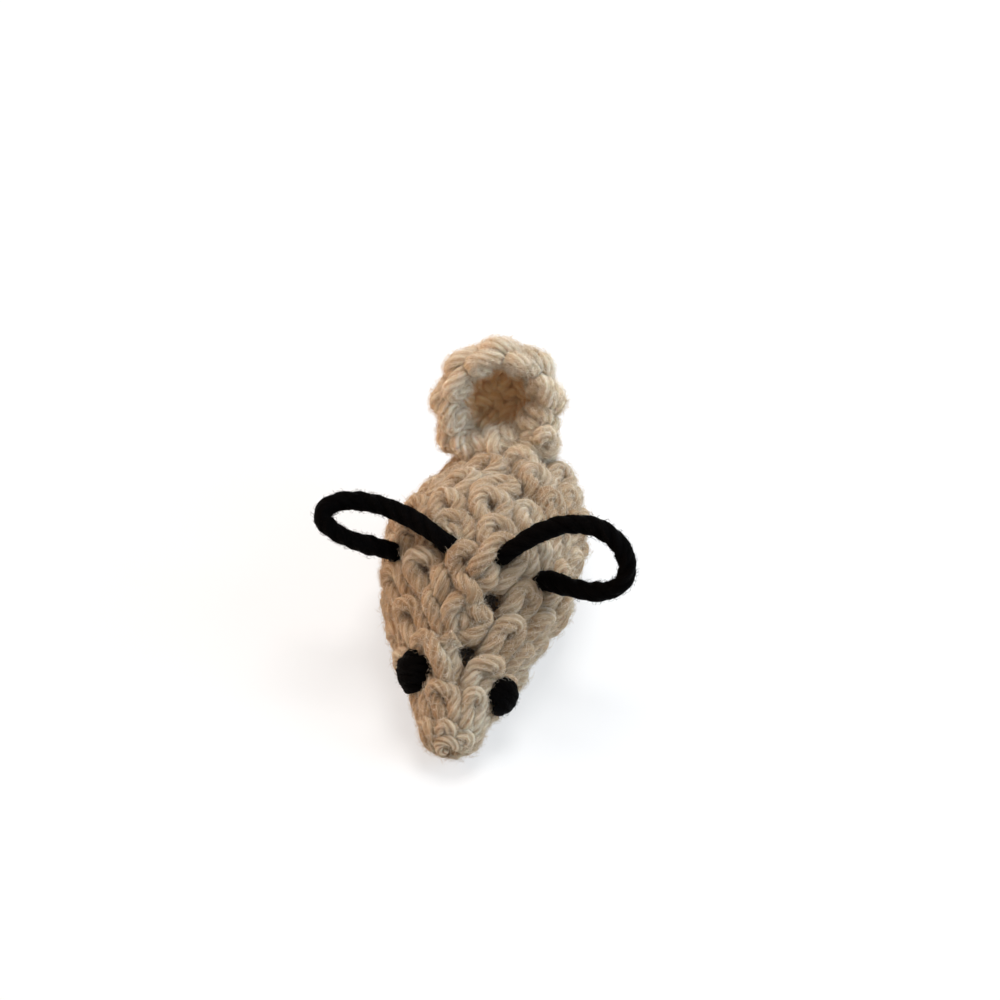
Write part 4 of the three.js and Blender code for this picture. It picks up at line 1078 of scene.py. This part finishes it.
# The cup's cavity gets a painted glow, a paler, warmer colour that stands in for light coming through the
# fabric from behind.
MOUTH_AHEAD = 2.0          # how far the mouth stands in front of the cup's middle
PAINTED_GLOW_SHARE = 0.72          # how much of the wool's own colour the painted glow takes over
HOLLOW_RADII, HOLLOW_AHEAD, HOLLOW_FACING = (3.4, 4.9), (-0.4, 2.4), (-0.5, 0.1)
HOLLOW_FROM = 0.2          # from this much painted glow on, fibres are those of the cup's cavity, in the painted glow's orange
TAIL_FIBRES, HOLLOW_FIBRES, FEWEST_FIBRES = 26000, 1800, 20
RINGS_BESIDE = 8           # rings of its own strand that can't cover a point
NOD_BEND, TIP_BEND = 0.1, 0.09    # the shares of the length to either side of a joint
# The strip in four lengths, each from one share of it to the next. The second lies across the nod's hinge
# and the third across the tip's; these two are left with no body to move with.
TAIL_PIECES = [
    ("tail_root", -1, 0.12, ("tail_stem",), None),
    ("tail_rise", 0.12, 0.45, ("tail_stem", "tail_curl"), (NOD_SHARE - NOD_BEND, NOD_SHARE + NOD_BEND)),
    ("tail_cup", 0.45, 0.97, ("tail_curl", "tail_tip"), (TIP_SHARE - TIP_BEND, TIP_SHARE + TIP_BEND)),
    ("tail_end", 0.97, 3, ("tail_tip",), None),
]


def inside_cup(points):
    """The painted glow on the yarn's surface, for light coming through the fabric into the cavity of the
    cup, from nothing up to the painted glow's share: near the axis, behind the mouth, and on the side of the
    strand that faces the middle of the mouth."""
    mouth = ROOT_POINT + CURL_OFFSET + CUP_SHIFT + MOUTH_AHEAD * CUP_AXIS
    away = points - mouth
    ahead = away @ CUP_AXIS + MOUTH_AHEAD
    radius = np.linalg.norm(away - (away @ CUP_AXIS)[..., None] * CUP_AXIS, axis=-1)
    facing = -(unit(points - points.mean(axis=1, keepdims=True)) * unit(away)).sum(axis=-1)
    near_axis, behind_mouth = 1 - smoothstep(radius, *HOLLOW_RADII), 1 - smoothstep(ahead, *HOLLOW_AHEAD)
    return PAINTED_GLOW_SHARE * near_axis * behind_mouth * smoothstep(facing, *HOLLOW_FACING)


def runs_within(inside):
    """The first and last ring of each unbroken run of rings that lies in a piece. A run also takes the ring
    after it, where the next piece begins, so that no gap shows."""
    edge = np.flatnonzero(np.diff(np.concatenate([[0], inside.astype(int), [0]])))
    starts, stops = edge[::2], edge[1::2]
    return [(first, min(stop, len(inside) - 1)) for first, stop in zip(starts, stops) if stop > first]


tail_hollow = inside_cup(tail_yarn[0])
tail_free = standing_free(tail_yarn, TAIL_YARN * FULLNESS, RINGS_BESIDE)
TAIL_FIBRE_KINDS = [
    ("_fuzz", tail_hollow < HOLLOW_FROM, TAIL_FIBRES, TAIL_FUZZ_PAINTED_LIGHT),
    ("_hollow_fuzz", tail_hollow >= HOLLOW_FROM, HOLLOW_FIBRES, PAINTED_GLOW_FUZZ),
]
for name, start, stop, bodies, bend in TAIL_PIECES:
    inside = (tail_share >= start) & (tail_share < stop)
    strands = add_yarn(name + "_yarn", tail_yarn, TAIL_WOOL_PAINTED_LIGHT, runs_within(inside), tail_hollow)
    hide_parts(*bodies)
    made = [strands]
    for kind, where, fibres, material in TAIL_FIBRE_KINDS:
        seen = inside[:, None] & tail_free & where
        count = int(fibres * seen.sum() / (tail_free & where).sum())
        if count > FEWEST_FIBRES:
            made.append(add_fuzz(name + kind, tail_yarn, material, count, LONG_FIBRE,
                                 seed=41, seen=seen))
    for piece in made:
        if bend:
            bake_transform(piece)
        else:
            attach(piece, *bodies)

# Knots and yarn inside the head

EAR_KNOT_DEPTH, KNOT_SIZE, KNOT_YARN = 3.8, 0.28, 1.15
KNOT_POINTS, KNOT_SPACING, STRAIGHT_POINTS = 80, 0.15, 30
BRIDGE_YARN, EYE_THREAD = 2.2, 1.2
for name, ear in EARS.items():
    point, normal = skin_place(*ear["outer"])[:2]
    t = np.linspace(0, TURN, KNOT_POINTS)[:, None]
    trefoil = np.hstack([np.sin(t) + 2 * np.sin(2 * t), np.cos(t) - 2 * np.cos(2 * t), -np.sin(3 * t)])
    knot = evenly(point - EAR_KNOT_DEPTH * normal + KNOT_SIZE * trefoil, KNOT_SPACING)
    yarn = plied_yarn(knot, KNOT_YARN, pitch=4, seed=8)
    piece = add_yarn(name + "_knot_yarn", yarn, DARK_YARN)
    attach(piece, "body")
    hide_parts(name + "_knot")
for name, first, last, thickness in (
        ("ear_bridge", INNER_ENDS["right_ear"], INNER_ENDS["left_ear"], BRIDGE_YARN),
        ("eye_thread", EYES["right_eye"][0].mean(0), EYES["left_eye"][0].mean(0), EYE_THREAD)):
    straight = first + (last - first) * np.linspace(0, 1, STRAIGHT_POINTS)[:, None]
    yarn = plied_yarn(straight, thickness, pitch=6, seed=6)
    piece = add_yarn(name + "_yarn", yarn, DARK_YARN)
    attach(piece, "body")
    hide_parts(name)

# Table, light and camera, in metres

TABLE_REACH, TABLE_BELOW = 3.0, 0.00002
TABLE_GLOW = 0.6           # how far the table shows as plain white to the camera, as a blown-out ground does
SKY_STRENGTH = 0.38
CAMERA_AZIMUTH, CAMERA_ELEVATION, CAMERA_DISTANCE = 9, 45, 0.380
CAMERA_AIM = np.array([0, 0, 0.008])
VIEW_WIDTH = 0.120         # what the picture spans at that distance
SENSOR = 36                # millimetres, a full frame's width
PICTURE_SHIFT = (0.024, 0.096)    # shares of the picture, so that the mouse stands as in the photo


def aimed(name, data, place, aim):
    """A lamp or a camera at a place, which looks along a direction."""
    holder = bpy.data.objects.new(name, data)
    holder.location = place
    holder.rotation_mode = "QUATERNION"
    holder.rotation_quaternion = Vector(aim).to_track_quat("-Z", "Y")
    bpy.context.scene.collection.objects.link(holder)
    return holder


def add_lamp(name, place, size, power, tint):
    """A square soft lamp that faces the object."""
    lamp = bpy.data.lights.new(name, "AREA")
    lamp.size, lamp.energy, lamp.color = size, power, tint
    aimed(name, lamp, place, -np.array(place))


# A white ground, overexposed as in the photo: plain white to the eye, and it still takes a faint shadow.
ground, tree = new_material("pale_table")
white = add_node(tree, "ShaderNodeBsdfDiffuse", None, {"Color": colour("#f4f4f4")})
glow = add_node(tree, "ShaderNodeEmission", None, {"Color": (1, 1, 1, 1), "Strength": 1.0})
rays = add_node(tree, "ShaderNodeLightPath")
amount = add_node(tree, "ShaderNodeMath", {0: rays.outputs["Is Camera Ray"]}, {1: TABLE_GLOW},
                  operation="MULTIPLY")
both = add_node(tree, "ShaderNodeMixShader", {0: amount.outputs[0], 1: white.outputs[0], 2: glow.outputs[0]})
add_node(tree, "ShaderNodeOutputMaterial", {"Surface": both.outputs[0]})
corners = np.array([(-1, -1), (1, -1), (1, 1), (-1, 1)]) * TABLE_REACH / MM
table = add_piece("floor", np.column_stack([corners, np.full(4, -TABLE_BELOW / MM)]), [[0, 1, 2, 3]], ground)

world = bpy.data.worlds.new("soft_studio")
bpy.context.scene.world = world
world.use_nodes = True
background = world.node_tree.nodes["Background"]
background.inputs["Color"].default_value = (1, 1, 1, 1)
background.inputs["Strength"].default_value = SKY_STRENGTH

add_lamp("key", (0.03, 0.14, 0.42), size=0.22, power=1.35, tint=(1, 0.98, 0.96))
add_lamp("warm_side", (-0.36, -0.02, 0.12), size=0.2, power=0.75, tint=(1, 0.56, 0.26))
add_lamp("cool_side", (0.38, 0.0, 0.18), size=0.25, power=1.2, tint=(0.6, 0.8, 1))

back = direction(CAMERA_AZIMUTH, CAMERA_ELEVATION)
lens = bpy.data.cameras.new("camera")
lens.sensor_width = SENSOR
lens.lens = SENSOR * CAMERA_DISTANCE / VIEW_WIDTH
lens.shift_x, lens.shift_y = PICTURE_SHIFT
bpy.context.scene.camera = aimed("camera", lens, CAMERA_AIM + back * CAMERA_DISTANCE, -back)
bpy.context.scene.view_settings.view_transform = "Standard"
